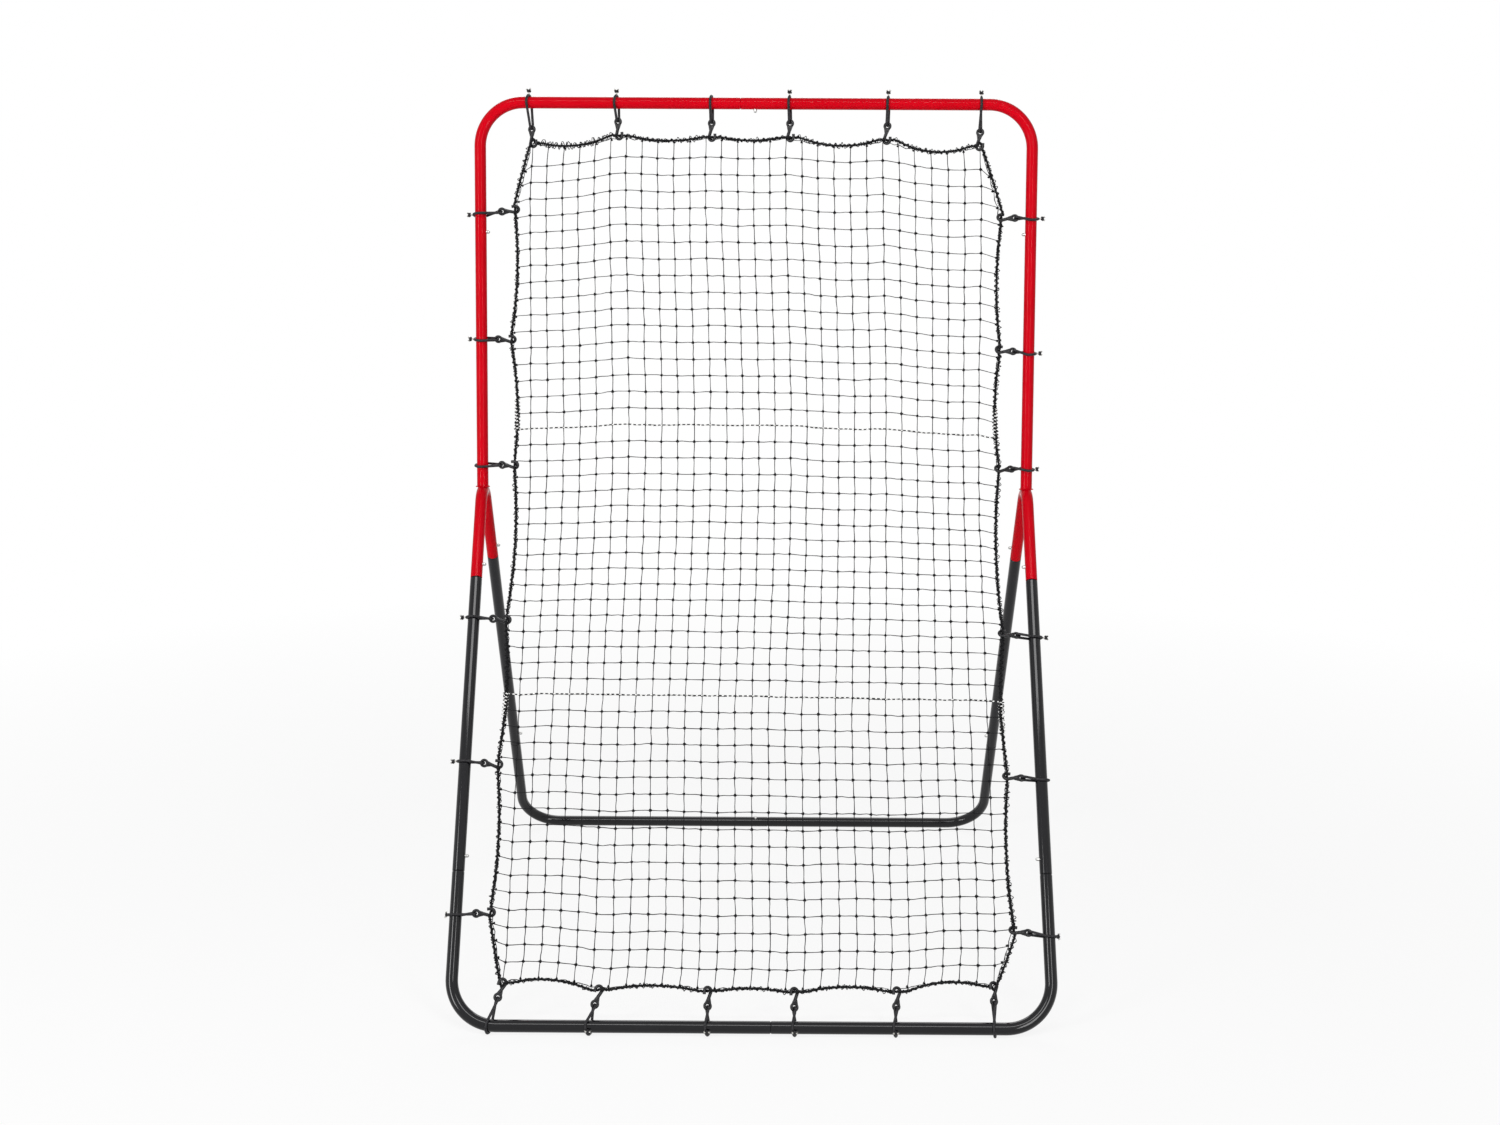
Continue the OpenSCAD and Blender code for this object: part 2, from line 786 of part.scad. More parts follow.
top_corner(-1);  // top_corner_left
top_corner(1);  // top_corner_right
side_post(-1);  // side_post_left
side_post(1);  // side_post_right
leg_bracket(-1);  // leg_bracket_left
leg_bracket(1);  // leg_bracket_right
post_welds();
leg_tube(-1, front_plane);  // front_leg_left
leg_tube(1, front_plane);  // front_leg_right
foot_corner(-1, front_plane, front_bar_turn);  // front_foot_left
foot_corner(1, front_plane, front_bar_turn);  // front_foot_right
leg_tube(-1, rear_plane);  // rear_leg_left
leg_tube(1, rear_plane);  // rear_leg_right
foot_corner(-1, rear_plane, rear_bar_turn);  // rear_foot_left
foot_corner(1, rear_plane, rear_bar_turn);  // rear_foot_right
plated(post_plane) at_top_button() snap_button();  // top_bar_button
plated(post_plane) at_side_button(-1, post_joint) snap_button();  // post_button_left
plated(post_plane) at_side_button(1, post_joint) snap_button();  // post_button_right
plated(front_plane) at_side_button(-1, bracket_len) snap_button();  // front_bracket_button_left
plated(front_plane) at_side_button(1, bracket_len) snap_button();  // front_bracket_button_right
plated(rear_plane) at_side_button(-1, bracket_len) snap_button();  // rear_bracket_button_left
plated(rear_plane) at_side_button(1, bracket_len) snap_button();  // rear_bracket_button_right
plated(front_plane) at_side_button(-1, leg_joint) snap_button();  // front_leg_button_left
plated(front_plane) at_side_button(1, leg_joint) snap_button();  // front_leg_button_right
plated(rear_plane) at_side_button(-1, leg_joint) snap_button();  // rear_leg_button_left
plated(rear_plane) at_side_button(1, leg_joint) snap_button();  // rear_leg_button_right
plated(front_plane) at_foot_button(front_bar_turn) snap_button();  // front_bar_button
plated(rear_plane) at_foot_button(rear_bar_turn) snap_button();  // rear_bar_button
bar_spring_clips();
side_spring_clips([post_plane], post_joint);  // post_spring_clips
side_spring_clips([front_plane, rear_plane], bracket_len);  // bracket_spring_clips
side_spring_clips([front_plane, rear_plane], leg_joint);  // leg_spring_clips
net_flat(0);  // net_upper
net_flat(1);  // net_bend_upper
net_flat(2);  // net_bend_middle
net_flat(3);  // net_bend_lower
net_flat(4);  // net_lower
border_rope();
strike_cord(1, run_of(strike_upper));  // strike_cord_upper
strike_cord(4, run_of(-strike_lower));  // strike_cord_lower
bungees(top_ties);  // top_bungees
bungees(left_ties);  // left_bungees
bungees(right_ties);  // right_bungees
foot_bungee(1);  // foot_bungee_1
foot_bungee(2);  // foot_bungee_2
foot_bungee(3);  // foot_bungee_3
foot_bungee(4);  // foot_bungee_4
foot_bungee(5);  // foot_bungee_5
foot_bungee(6);  // foot_bungee_6
hooks(top_ties);  // top_hooks
hooks(left_ties);  // left_hooks
hooks(right_ties);  // right_hooks
hooks(foot_ties);  // foot_hooks

module bar_spring_clips() {
    plated(post_plane)
        at_top_button()
            spring_clip();
    plated(front_plane)
        at_foot_button(front_bar_turn)
            spring_clip();
    plated(rear_plane)
        at_foot_button(rear_bar_turn)
            spring_clip();
}

module side_spring_clips(planes, joint_z) {
    for (plane = planes)
        for (side = [-1, 1])
            plated(plane)
                at_side_button(side, joint_z)
                    spring_clip();
}

module bungees(ties) {
    for (tie = ties)
        bungee(tie);
}

module foot_bungee(number) {
    bungee(foot_ties[number - 1], 90 + foot_knot_turn);
}
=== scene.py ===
import bpy
import bmesh
import json
import math
import random
from mathutils import Matrix, Vector


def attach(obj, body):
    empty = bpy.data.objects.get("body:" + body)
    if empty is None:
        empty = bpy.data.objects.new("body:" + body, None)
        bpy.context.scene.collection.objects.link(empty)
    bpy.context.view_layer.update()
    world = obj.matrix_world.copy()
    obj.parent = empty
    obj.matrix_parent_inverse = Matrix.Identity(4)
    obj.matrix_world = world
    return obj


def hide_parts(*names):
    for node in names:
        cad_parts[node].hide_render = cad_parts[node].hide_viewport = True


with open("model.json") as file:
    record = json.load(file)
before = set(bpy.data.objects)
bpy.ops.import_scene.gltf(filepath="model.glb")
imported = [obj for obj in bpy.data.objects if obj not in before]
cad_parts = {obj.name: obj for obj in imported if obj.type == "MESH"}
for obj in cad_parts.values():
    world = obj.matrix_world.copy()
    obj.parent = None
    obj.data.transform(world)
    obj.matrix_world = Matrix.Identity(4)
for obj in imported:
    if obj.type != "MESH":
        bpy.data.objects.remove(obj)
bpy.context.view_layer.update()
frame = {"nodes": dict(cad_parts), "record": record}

print("frame loaded:", len(frame["nodes"]), "nodes")

# sizes shared with the solids, in metres and degrees
rig = {
    "frameWidth": 1.048, "tubeRadius": 0.011, "cornerRadius": 0.082,
    "postLength": 0.702, "postLean": 5.7, "legLength": 1.046, "legAngle": 32.0,
    "softGap": 0.0003, "cordRadius": 0.00225, "cordPressed": 0.9, "netBend": 0.175,
}
sideX = rig["frameWidth"] / 2
straightX = sideX - rig["cornerRadius"]
leanAngle = math.radians(rig["postLean"])
legAngle = math.radians(rig["legAngle"])
apexHeight = rig["legLength"] * math.cos(legAngle)
footReach = rig["legLength"] * math.sin(legAngle)
# the front bar stands on the cords round it, pressed a little flat, so the whole leans back a little
cordLift = rig["softGap"] + 2 * rig["cordRadius"] * rig["cordPressed"]
stanceTilt = math.asin(cordLift / (2 * footReach))
stance = Matrix.Translation((0, rig["softGap"] + 2 * rig["cordRadius"], rig["tubeRadius"] + cordLift / 2)) \
    @ Matrix.Rotation(-stanceTilt, 4, "X")
acrossFrame = Vector((1, 0, 0))
upLeg = Vector((0, math.sin(legAngle), math.cos(legAngle)))
upPost = Vector((0, math.sin(leanAngle), math.cos(leanAngle)))


def postPoint(x, along):
    return Vector((x, 0, apexHeight)) + along * upPost


def legPoint(x, along):
    return Vector((x, 0, apexHeight)) - along * upLeg


# the net's surface: straight beside the posts, round a bend, straight beside the legs
bendTurn = legAngle - leanAngle
bendRadius = rig["netBend"] / math.tan(bendTurn / 2)
bendStart = rig["postLength"] - rig["netBend"]
bendLength = bendRadius * bendTurn
netEnd = bendStart + bendLength + rig["legLength"] - rig["netBend"]


def runOf(height):
    if height >= rig["netBend"]:
        return rig["postLength"] - height
    if height <= -rig["netBend"]:
        return bendStart + bendLength - height - rig["netBend"]
    return bendStart + bendLength * (rig["netBend"] - height) / (2 * rig["netBend"])


# point of the net at x and run, pushed out of its surface towards the front
def netPoint(x, run, out=0.0):
    if run < bendStart:
        return postPoint(x, rig["postLength"] - run) + out * Vector((0, -upPost.z, upPost.y))
    if run > bendStart + bendLength:
        along = run - bendStart - bendLength + rig["netBend"]
        return legPoint(x, along) + out * Vector((0, -upLeg.z, upLeg.y))
    turn = leanAngle + (run - bendStart) / bendRadius
    start = postPoint(x, rig["netBend"])
    swing = Vector((0, math.cos(turn) - math.cos(leanAngle), math.sin(leanAngle) - math.sin(turn)))
    return start + bendRadius * swing + out * Vector((0, -math.cos(turn), math.sin(turn)))


# direction of the net at a run, from a point a little before it to one a little past it
def netDown(run):
    reach = 0.0005
    return (netPoint(0, run + reach) - netPoint(0, run - reach)).normalized()


# where the ties sit: place on the tube, place on the rope, distance from tube to rope, in millimetres
topPlaces = [
    (-431, -423, 76), (-265, -260, 61), (-85, -84, 63), (63, 65, 63), (250, 248, 67), (426, 424, 78),
]
footPlaces = [
    (-455, -435, 74), (-282, -266, 63), (-76, -76, 62), (75, 75, 61), (250, 254, 63), (422, 423, 73),
]
leftPlaces = [
    (491, 502, 66), (256, 256, 58), (15, 12, 64), (-296, -300, 62), (-574, -579, 61), (-854, -849, 62),
]
rightPlaces = [
    (489, 491, 57), (234, 241, 56), (12, 9, 56), (-330, -322, 59), (-603, -596, 62), (-886, -875, 62),
]
hook = {"span": 0.026, "eyeRadius": 0.0056, "eyeBar": 0.0025, "turn": math.radians(65)}


def inMetres(places):
    return [tuple(value / 1000 for value in place) for place in places]


def bendAngleOf(x):
    past = abs(x) - straightX
    return math.copysign(math.asin(past / rig["cornerRadius"]), x) if past > 0 else 0.0


def barRise(x):
    return rig["cornerRadius"] * (1 - math.cos(bendAngleOf(x)))


def tieOf(tube, rope, along, ropeWay):
    hold = netPoint(*rope)
    out = (hold - tube).normalized()
    flat = (ropeWay - ropeWay.dot(out) * out).normalized()
    normal = math.cos(hook["turn"]) * flat - math.sin(hook["turn"]) * out.cross(flat)
    return {
        "tube": tube, "rope": Vector(rope), "hold": hold,
        "along": along.copy(), "out": out, "normal": normal,
    }


def topTies():
    return [
        tieOf(postPoint(x, rig["postLength"] - barRise(x)), (ropeX, drop), acrossFrame, acrossFrame)
        for x, ropeX, drop in inMetres(topPlaces)
    ]


def footTies():
    ties = []
    for x, ropeX, rise in inMetres(footPlaces):
        angle = bendAngleOf(x)
        along = -math.cos(angle) * acrossFrame - math.sin(angle) * upLeg
        tube = legPoint(x, rig["legLength"] - barRise(x))
        ties.append(tieOf(tube, (ropeX, netEnd - rise), along, -acrossFrame))
    return ties


def sideTies(places, side):
    ties = []
    for height, ropeHeight, inward in inMetres(places):
        tube = postPoint(side * sideX, height) if height >= 0 else legPoint(side * sideX, -height)
        rope = (side * (sideX - inward), runOf(ropeHeight))
        ties.append(tieOf(tube, rope, upPost if height >= 0 else upLeg, -netDown(rope[1])))
    return ties


tieGroups = {
    "top": topTies(), "left": sideTies(leftPlaces, -1), "right": sideTies(rightPlaces, 1), "foot": footTies(),
}
print("ties placed:", sum(len(ties) for ties in tieGroups.values()))


# a socket that can be used in expressions
class Sock:
    def __init__(self, build, socket):
        self.build = build
        self.socket = socket

    def maths(self, operation, *others):
        return self.build.node("ShaderNodeMath", {"operation": operation}, self, *others)

    def __add__(self, other):
        return self.maths("ADD", other)

    __radd__ = __add__

    def __sub__(self, other):
        return self.maths("SUBTRACT", other)

    def __mul__(self, other):
        return self.maths("MULTIPLY", other)

    __rmul__ = __mul__

    def __gt__(self, other):
        return self.maths("GREATER_THAN", other)


# the nodes of a material or a world being put together
class Finish:
    def __init__(self, holder, ending="ShaderNodeOutputMaterial"):
        self.holder = holder
        holder.use_nodes = True
        self.tree = holder.node_tree
        self.tree.nodes.clear()
        self.output = self.tree.nodes.new(ending)

    # a colour of three values gets its alpha here
    def plug(self, target, value):
        if isinstance(value, tuple) and len(value) == 3:
            value = (*value, 1)
        if isinstance(value, Sock):
            self.tree.links.new(value.socket, target)
        elif value is not None:
            target.default_value = value

    def node(self, kind, settings=None, *inputs, output=0, **named):
        made = self.tree.nodes.new(kind)
        for key, value in (settings or {}).items():
            setattr(made, key, value)
        for index, value in enumerate(inputs):
            self.plug(made.inputs[index], value)
        for key, value in named.items():
            self.plug(made.inputs[key.replace("_", " ")], value)
        return Sock(self, made.outputs[output])

    def noise(self, scale, detail=2.0, roughness=0.5):
        grain = {"Scale": scale, "Detail": detail, "Roughness": roughness}
        return self.node("ShaderNodeTexNoise", {}, self.place(), **grain)

    def place(self):
        return self.node("ShaderNodeTexCoord", output=3)  # object coordinates

    def runs(self):
        split = self.node("ShaderNodeSeparateXYZ", {}, self.node("ShaderNodeUVMap", {"uv_map": "UVMap"}))
        parts = split.socket.node.outputs
        return Sock(self, parts[0]), Sock(self, parts[1])

    # inputs 6 and 7 and output 2 of the mix node are its colours
    def mix(self, share, first, second):
        made = self.tree.nodes.new("ShaderNodeMix")
        made.data_type = "RGBA"
        for key, value in (("Factor", share), (6, first), (7, second)):
            self.plug(made.inputs[key], value)
        return Sock(self, made.outputs[2])

    def clamped(self, value, low, high, lowOut=0.0, highOut=1.0):
        return self.node("ShaderNodeMapRange", {}, value, low, high, lowOut, highOut)

    def bump(self, height, distance, strength):
        return self.node("ShaderNodeBump", {}, Height=height, Distance=distance, Strength=strength)

    def shade(self, **sockets):
        shader = self.tree.nodes.new("ShaderNodeBsdfPrincipled")
        for key, value in sockets.items():
            self.plug(shader.inputs[key.replace("_", " ")], value)
        self.tree.links.new(shader.outputs[0], self.output.inputs[0])
        return self.holder


def newFinish(name):
    return Finish(bpy.data.materials.new(name))


# glossy baked powder with faint orange peel, dust on it and a few dull rubs
# here and below, a noise is given by its scale, detail and roughness
coat = {
    "cloud": (9, 3), "speck": (420, 2), "peel": (900, 2, 0.45), "rub": (38, 5, 0.62),
    "rubRange": (0.60, 0.74), "deepRange": (0.35, 0.7), "speckRange": (0.72, 0.8), "speckShare": 0.2,
    "dustGain": 1.2, "dustLift": 0.01, "rubDull": 0.10, "cloudDull": 0.03, "cloudRelief": 0.6,
    "depth": 0.00003, "relief": 0.3,
}


def powderCoat(name, base, deep, roughness, gloss):
    finish = newFinish(name)
    cloud = finish.noise(*coat["cloud"])
    speck = finish.noise(*coat["speck"])
    peel = finish.noise(*coat["peel"])
    rub = finish.clamped(finish.noise(*coat["rub"]), *coat["rubRange"])
    colour = finish.mix(finish.clamped(cloud, *coat["deepRange"]), base, deep)
    dust = tuple(min(1, c * coat["dustGain"] + coat["dustLift"]) for c in base)
    colour = finish.mix(finish.clamped(speck, *coat["speckRange"], 0.0, coat["speckShare"]), colour, dust)
    return finish.shade(
        Base_Color=colour,
        Roughness=roughness + coat["rubDull"] * rub + coat["cloudDull"] * cloud,
        Normal=finish.bump(peel + coat["cloudRelief"] * cloud, coat["depth"], coat["relief"]),
        Specular_IOR_Level=gloss,
    )


plate = {
    "cloud": (260, 3), "scratch": (1400, 2, 0.6), "shade": 0.72, "dull": 0.22,
    "depth": 0.00003, "relief": 0.6,
}


def zincPlate(name, base, roughness):
    finish = newFinish(name)
    cloud = finish.noise(*plate["cloud"])
    scratch = finish.noise(*plate["scratch"])
    return finish.shade(
        Base_Color=finish.mix(cloud, base, tuple(c * plate["shade"] for c in base)),
        Metallic=1.0,
        Roughness=roughness + plate["dull"] * cloud,
        Normal=finish.bump(scratch, plate["depth"], plate["relief"]),
    )


moulding = {
    "grain": (1500, 2), "cloud": (120, 3), "paleGain": 2.0, "paleLift": 0.004, "roughness": 0.30,
    "dull": 0.16, "cloudRelief": 0.5, "depth": 0.00008, "relief": 0.6, "gloss": 0.3,
}


def mouldedPlastic(name, base):
    finish = newFinish(name)
    grain = finish.noise(*moulding["grain"])
    cloud = finish.noise(*moulding["cloud"])
    pale = tuple(c * moulding["paleGain"] + moulding["paleLift"] for c in base)
    return finish.shade(
        Base_Color=finish.mix(cloud, base, pale),
        Roughness=moulding["roughness"] + moulding["dull"] * cloud,
        Normal=finish.bump(grain + moulding["cloudRelief"] * cloud, moulding["depth"], moulding["relief"]),
        Specular_IOR_Level=moulding["gloss"],
    )


# twisted plastic fibre: its colour goes lighter where the fine fibres stand high in the bump, a painted
# highlight on them and painted shade between them, and also with a slow random change of tone
spun = {
    "fibre": (3, 0.65), "cloud": (60, 2), "cloudShare": 0.4, "paintedHighlightAndToneRange": (0.45, 0.95), "dull": 0.2,
    "depth": 0.0003, "relief": 0.8, "gloss": 0.15,
}


def spunTwine(name, base, paintedHighlightAndTone, scale, roughness=0.62):
    finish = newFinish(name)
    fibre = finish.noise(scale, *spun["fibre"])
    cloud = finish.noise(*spun["cloud"])
    # painted highlight on the raised fibres and painted shade between them, mixed with a real slow random
    # change of tone
    paintedHighlightAndToneShare = finish.clamped(fibre + spun["cloudShare"] * cloud, *spun["paintedHighlightAndToneRange"])
    return finish.shade(
        Base_Color=finish.mix(paintedHighlightAndToneShare, base, paintedHighlightAndTone),
        Roughness=roughness + spun["dull"] * fibre,
        Normal=finish.bump(fibre, spun["depth"], spun["relief"]),
        Specular_IOR_Level=spun["gloss"],
    )


# braided cover: two sets of strands cross round the cord, laid out on its own UV map; its colour follows the
# weave's relief, a painted highlight on the strands' crests and painted shade in the grooves between them
cover = {
    "fibre": (2600, 2), "fibreShare": 0.3, "paintedHighlightAndToneRange": (0.0, 1.2), "roughness": 0.42, "dull": 0.2,
    "depth": 0.0002, "relief": 0.8, "gloss": 0.3, "drift": (30, 2), "driftShare": 0.5,
}


def braid(name, base, paintedHighlightAndTone, turns, length, tracer=None):
    finish = newFinish(name)
    around, along = finish.runs()
    left = (2 * math.pi * (turns * around + along * (1 / length))).maths("SINE")
    right = (2 * math.pi * (turns * around - along * (1 / length))).maths("SINE")
    weave = left.maths("MAXIMUM", right)
    fibre = finish.noise(*cover["fibre"])
    # the same height as the bump sets the colour: painted highlight on the crests, painted shade in the
    # grooves
    paintedHighlightAndToneShare = finish.clamped(weave + cover["fibreShare"] * fibre, *cover["paintedHighlightAndToneRange"])
    colour = finish.mix(paintedHighlightAndToneShare, base, paintedHighlightAndTone)
    if tracer:
        drift = cover["driftShare"] * finish.noise(*cover["drift"])
        phase = (along * (1 / tracer["every"]) + drift).maths("FRACT")
        colour = finish.mix(phase > tracer["bare"], colour, tracer["colour"])
    return finish.shade(
        Base_Color=colour,
        Roughness=cover["roughness"] + cover["dull"] * fibre,
        Normal=finish.bump(weave + cover["fibreShare"] * fibre, cover["depth"], cover["relief"]),
        Specular_IOR_Level=cover["gloss"],
    )


redCoat = powderCoat(
    "redCoat", base=(0.57, 0.0004, 0.008), deep=(0.50, 0.0002, 0.006), roughness=0.10, gloss=0.05,
)
blackCoat = powderCoat(
    "blackCoat", base=(0.005, 0.005, 0.007), deep=(0.003, 0.003, 0.004), roughness=0.06, gloss=0.3,
)
buttonZinc = zincPlate("buttonZinc", base=(0.52, 0.52, 0.51), roughness=0.2)
clipSteel = zincPlate("clipSteel", base=(0.42, 0.43, 0.45), roughness=0.3)
hookPlastic = mouldedPlastic("hookPlastic", base=(0.004, 0.004, 0.005))
# the second colour of each twine is a painted highlight on its raised fibres, also reached by a real slow
# change of tone
netTwine = spunTwine("netTwine", base=(0.003, 0.003, 0.0035), paintedHighlightAndTone=(0.012, 0.012, 0.014), scale=1600)
ropeFibre = spunTwine(
    "ropeFibre", base=(0.003, 0.003, 0.0035), paintedHighlightAndTone=(0.02, 0.02, 0.022), scale=1200, roughness=0.7,
)
# the second colour of each braid is the painted highlight on its weave's crests
bungeeCover = braid(
    "bungeeCover", base=(0.002, 0.002, 0.003), paintedHighlightAndTone=(0.014, 0.013, 0.016), turns=8, length=0.0035,
)
tracerBraid = braid(
    "tracerBraid", base=(0.70, 0.70, 0.68), paintedHighlightAndTone=(0.88, 0.88, 0.86), turns=6, length=0.003,
    tracer={"every": 0.0095, "bare": 0.42, "colour": (0.006, 0.006, 0.007)},
)
# here too the second colour is a painted highlight on raised fibres, also reached by a real slow change of
# tone
paleCore = spunTwine("paleCore", base=(0.55, 0.54, 0.5), paintedHighlightAndTone=(0.85, 0.84, 0.8), scale=1500)
print("finishes ready")


# one mesh from many strands, each (points, radius or radii, closed, finish index)
def cordPiece(name, finishes, strands, sides):
    curve = bpy.data.curves.new(name, "CURVE")
    curve.dimensions = "3D"
    curve.bevel_depth = 1.0
    curve.bevel_resolution = (sides - 4) // 2
    curve.use_fill_caps = True
    curve.twist_mode = "MINIMUM"
    for finish in finishes:
        curve.materials.append(finish)
    for points, radii, closed, index in strands:
        spline = curve.splines.new("POLY")
        spline.points.add(len(points) - 1)
        spline.points.foreach_set("co", [c for p in points for c in (*(stance @ p), 1.0)])
        spline.points.foreach_set("radius", [radii] * len(points) if isinstance(radii, float) else radii)
        spline.use_cyclic_u = closed
        spline.use_smooth = True
        spline.material_index = index
    holder = bpy.data.objects.new(name + "Curve", curve)
    bpy.context.collection.objects.link(holder)
    graph = bpy.context.evaluated_depsgraph_get()
    mesh = bpy.data.meshes.new_from_object(holder.evaluated_get(graph), depsgraph=graph)
    mesh.name = name
    layRuns(mesh, strands, sides)
    closeEnds(mesh)
    piece = bpy.data.objects.new(name, mesh)
    bpy.context.collection.objects.link(piece)
    bpy.data.objects.remove(holder)
    bpy.data.curves.remove(curve)
    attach(piece, "frame")
    return piece


# length of a course up to each of its points
def lengthsAlong(course):
    lengths = [0.0]
    for first, second in zip(course, course[1:]):
        lengths.append(lengths[-1] + (second - first).length)
    return lengths


# the UV map's second value becomes the true length along each strand; an open strand's two caps come first
def layRuns(mesh, strands, sides):
    runs = []
    for points, _, closed, _ in strands:
        lengths = lengthsAlong(points)
        rings = lengths if closed else [lengths[-1], 0.0, *lengths]
        runs.extend(length for length in rings for _ in range(sides))
    if len(runs) != len(mesh.vertices):
        raise RuntimeError("runs don't fit " + mesh.name)
    layer = mesh.uv_layers.active
    corners = [0] * len(mesh.loops)
    mesh.loops.foreach_get("vertex_index", corners)
    flat = [0.0] * (2 * len(corners))
    layer.uv.foreach_get("vector", flat)
    flat[1::2] = [runs[vertex] for vertex in corners]
    layer.uv.foreach_set("vector", flat)


# caps are joined to their strands, and nothing reaches below the floor
def closeEnds(mesh):
    shape = bmesh.new()
    shape.from_mesh(mesh)
    bmesh.ops.remove_doubles(shape, verts=shape.verts, dist=1e-7)
    for vertex in shape.verts:
        vertex.co.z = max(vertex.co.z, 0.0)
    shape.to_mesh(mesh)
    shape.free()


# Catmull-Rom course through points, with steps pieces between two of them
def smoothCourse(points, steps, closed=False):
    count = len(points)
    course = []
    for index in range(count if closed else count - 1):
        if closed:
            a, b, c, d = (points[(index + k) % count] for k in (-1, 0, 1, 2))
        else:
            a, b, c, d = (points[min(max(index + k, 0), count - 1)] for k in (-1, 0, 1, 2))
        for step in range(steps):
            t = step / steps
            course.append(0.5 * (
                2 * b + (c - a) * t + (2 * a - 5 * b + 4 * c - d) * t * t + (3 * b - a - 3 * c + d) * t ** 3
            ))
    if not closed:
        course.append(points[-1].copy())
    return course


# count + 1 points at even steps along a course
def spread(course, count):
    lengths = lengthsAlong(course)
    points, index = [], 0
    for step in range(count + 1):
        target = lengths[-1] * step / count
        while index < len(course) - 2 and lengths[index + 1] < target:
            index += 1
        share = (target - lengths[index]) / (lengths[index + 1] - lengths[index])
        points.append(course[index].lerp(course[index + 1], min(max(share, 0), 1)))
    return points


def sideAxes(direction, hint):
    first = direction.cross(hint).normalized()
    return first, direction.cross(first).normalized()


# a small thumb knot, flattened in the plane square to normal
def trefoil(centre, normal, across, size, thick, points):
    second = normal.cross(across).normalized()
    ring = []
    for index in range(points):
        t = 2 * math.pi * index / points
        x = math.sin(t) + 2 * math.sin(2 * t)
        y = math.cos(t) - 2 * math.cos(2 * t)
        ring.append(centre + size / 3 * (x * across + y * second) - thick * math.sin(3 * t) * normal)
    return ring


# border rope: it comes to each hook in the net's plane and passes through it from front to back
rope = {
    "seed": 11, "plies": 3, "plyRadius": 0.0012, "plyOffset": 0.0011, "uneven": (0.9, 1.12), "sides": 6,
    "lay": 0.017, "step": 0.0022, "smooth": 6, "edgeStep": 0.004, "aside": (0, 1, 0.3),
    "through": 0.016, "crossAlong": 0.0046, "crossOut": 0.00386, "hookNear": 0.007, "hookFade": 0.009,
}
# each edge of the net: the way the rope runs, the way it is drawn in, and by how much between its hooks
edges = {
    "top": (Vector((1, 0)), Vector((0, 1)), (0.011, 0.008, 0.006, 0.013, 0.016)),
    "right": (Vector((0, 1)), Vector((-1, 0)), (0.007, 0.007, 0.007, 0.007, 0.007)),
    "foot": (Vector((-1, 0)), Vector((0, -1)), (0.011, 0.008, 0.005, 0.008, 0.011)),
    "left": (Vector((0, -1)), Vector((1, 0)), (0.007, 0.007, 0.007, 0.007, 0.007)),
}


def holdsOf(group):
    return [tie["rope"] for tie in tieGroups[group]]


# one edge of the net in (x, run), drawn in between its hooks by dips
def edgeCourse(holds, inward, dips):
    course = []
    for start, end, dip in zip(holds, holds[1:], dips):
        steps = max(2, round((end - start).length / rope["edgeStep"]))
        for step in range(steps):
            t = step / steps
            course.append(start.lerp(end, t) + dip * 4 * t * (1 - t) * inward)
    course.append(holds[-1])
    return course


# course of the border rope round the net in (x, run, out), and its length
def ropeRoute():
    route = []
    for group, (along, inward, dips) in edges.items():
        holds = holdsOf(group)
        if group in ("foot", "left"):
            holds.reverse()
            dips = dips[::-1]
        for index, hold in enumerate(holds):
            steps = [(-rope["crossAlong"], rope["crossOut"]), (rope["crossAlong"], -rope["crossOut"])]
            if index > 0 or group in ("left", "right"):
                steps.insert(0, (-rope["through"], 0.0))
            if index < len(holds) - 1 or group in ("left", "right"):
                steps.append((rope["through"], 0.0))
            for step, out in steps:
                spot = hold + step * along
                route.append(Vector((spot.x, spot.y, out)))
            if index < len(holds) - 1:
                start, end = hold + rope["through"] * along, holds[index + 1] - rope["through"] * along
                for t in (0.2, 0.4, 0.6, 0.8):
                    spot = start.lerp(end, t) + dips[index] * 4 * t * (1 - t) * inward
                    route.append(Vector((spot.x, spot.y, 0.0)))
    course = smoothCourse(route, rope["smooth"], True)
    course.append(course[0].copy())
    length = lengthsAlong(course)[-1]
    return spread(course, round(length / rope["step"]))[:-1], length


ropeCourse, ropeLength = ropeRoute()
ropeCentres = [netPoint(p.x, p.y, p.z) for p in ropeCourse]
holdPoints = [tie["hold"] for ties in tieGroups.values() for tie in ties]
# room round the rope for what is wound on it: none at a hook, all of it a little way off
ropeRoom = []
for centre in ropeCentres:
    nearest = min((centre - hold).length for hold in holdPoints)
    ropeRoom.append(min(max((nearest - rope["hookNear"]) / rope["hookFade"], 0.0), 1.0))


# at a share of the rope's course: its centre, its direction, two directions square to that
# and the room round it
def ropeAt(share):
    count = len(ropeCentres)
    place = share * count
    index = int(place) % count
    following = (index + 1) % count
    centre = ropeCentres[index].lerp(ropeCentres[following], place - int(place))
    along = (ropeCentres[following] - ropeCentres[index - 1]).normalized()
    return centre, along, *sideAxes(along, Vector(rope["aside"])), ropeRoom[index]


def makeRope():
    shaker = random.Random(rope["seed"])
    count = len(ropeCentres)
    turns = round(ropeLength / rope["lay"])
    plies = [[] for _ in range(rope["plies"])]
    radii = [[] for _ in range(rope["plies"])]
    for index in range(count):
        centre, _, first, second, _ = ropeAt(index / count)
        for ply in range(rope["plies"]):
            angle = 2 * math.pi * (turns * index / count + ply / rope["plies"])
            out = math.cos(angle) * first + math.sin(angle) * second
            plies[ply].append(centre + rope["plyOffset"] * out)
            radii[ply].append(rope["plyRadius"] * shaker.uniform(*rope["uneven"]))
    strands = [(points, widths, True, 0) for points, widths in zip(plies, radii)]
    piece = cordPiece("borderRope", [ropeFibre], strands, rope["sides"])
    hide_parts("border_rope")


makeRope()
print("border rope laid:", round(ropeLength, 3), "m")


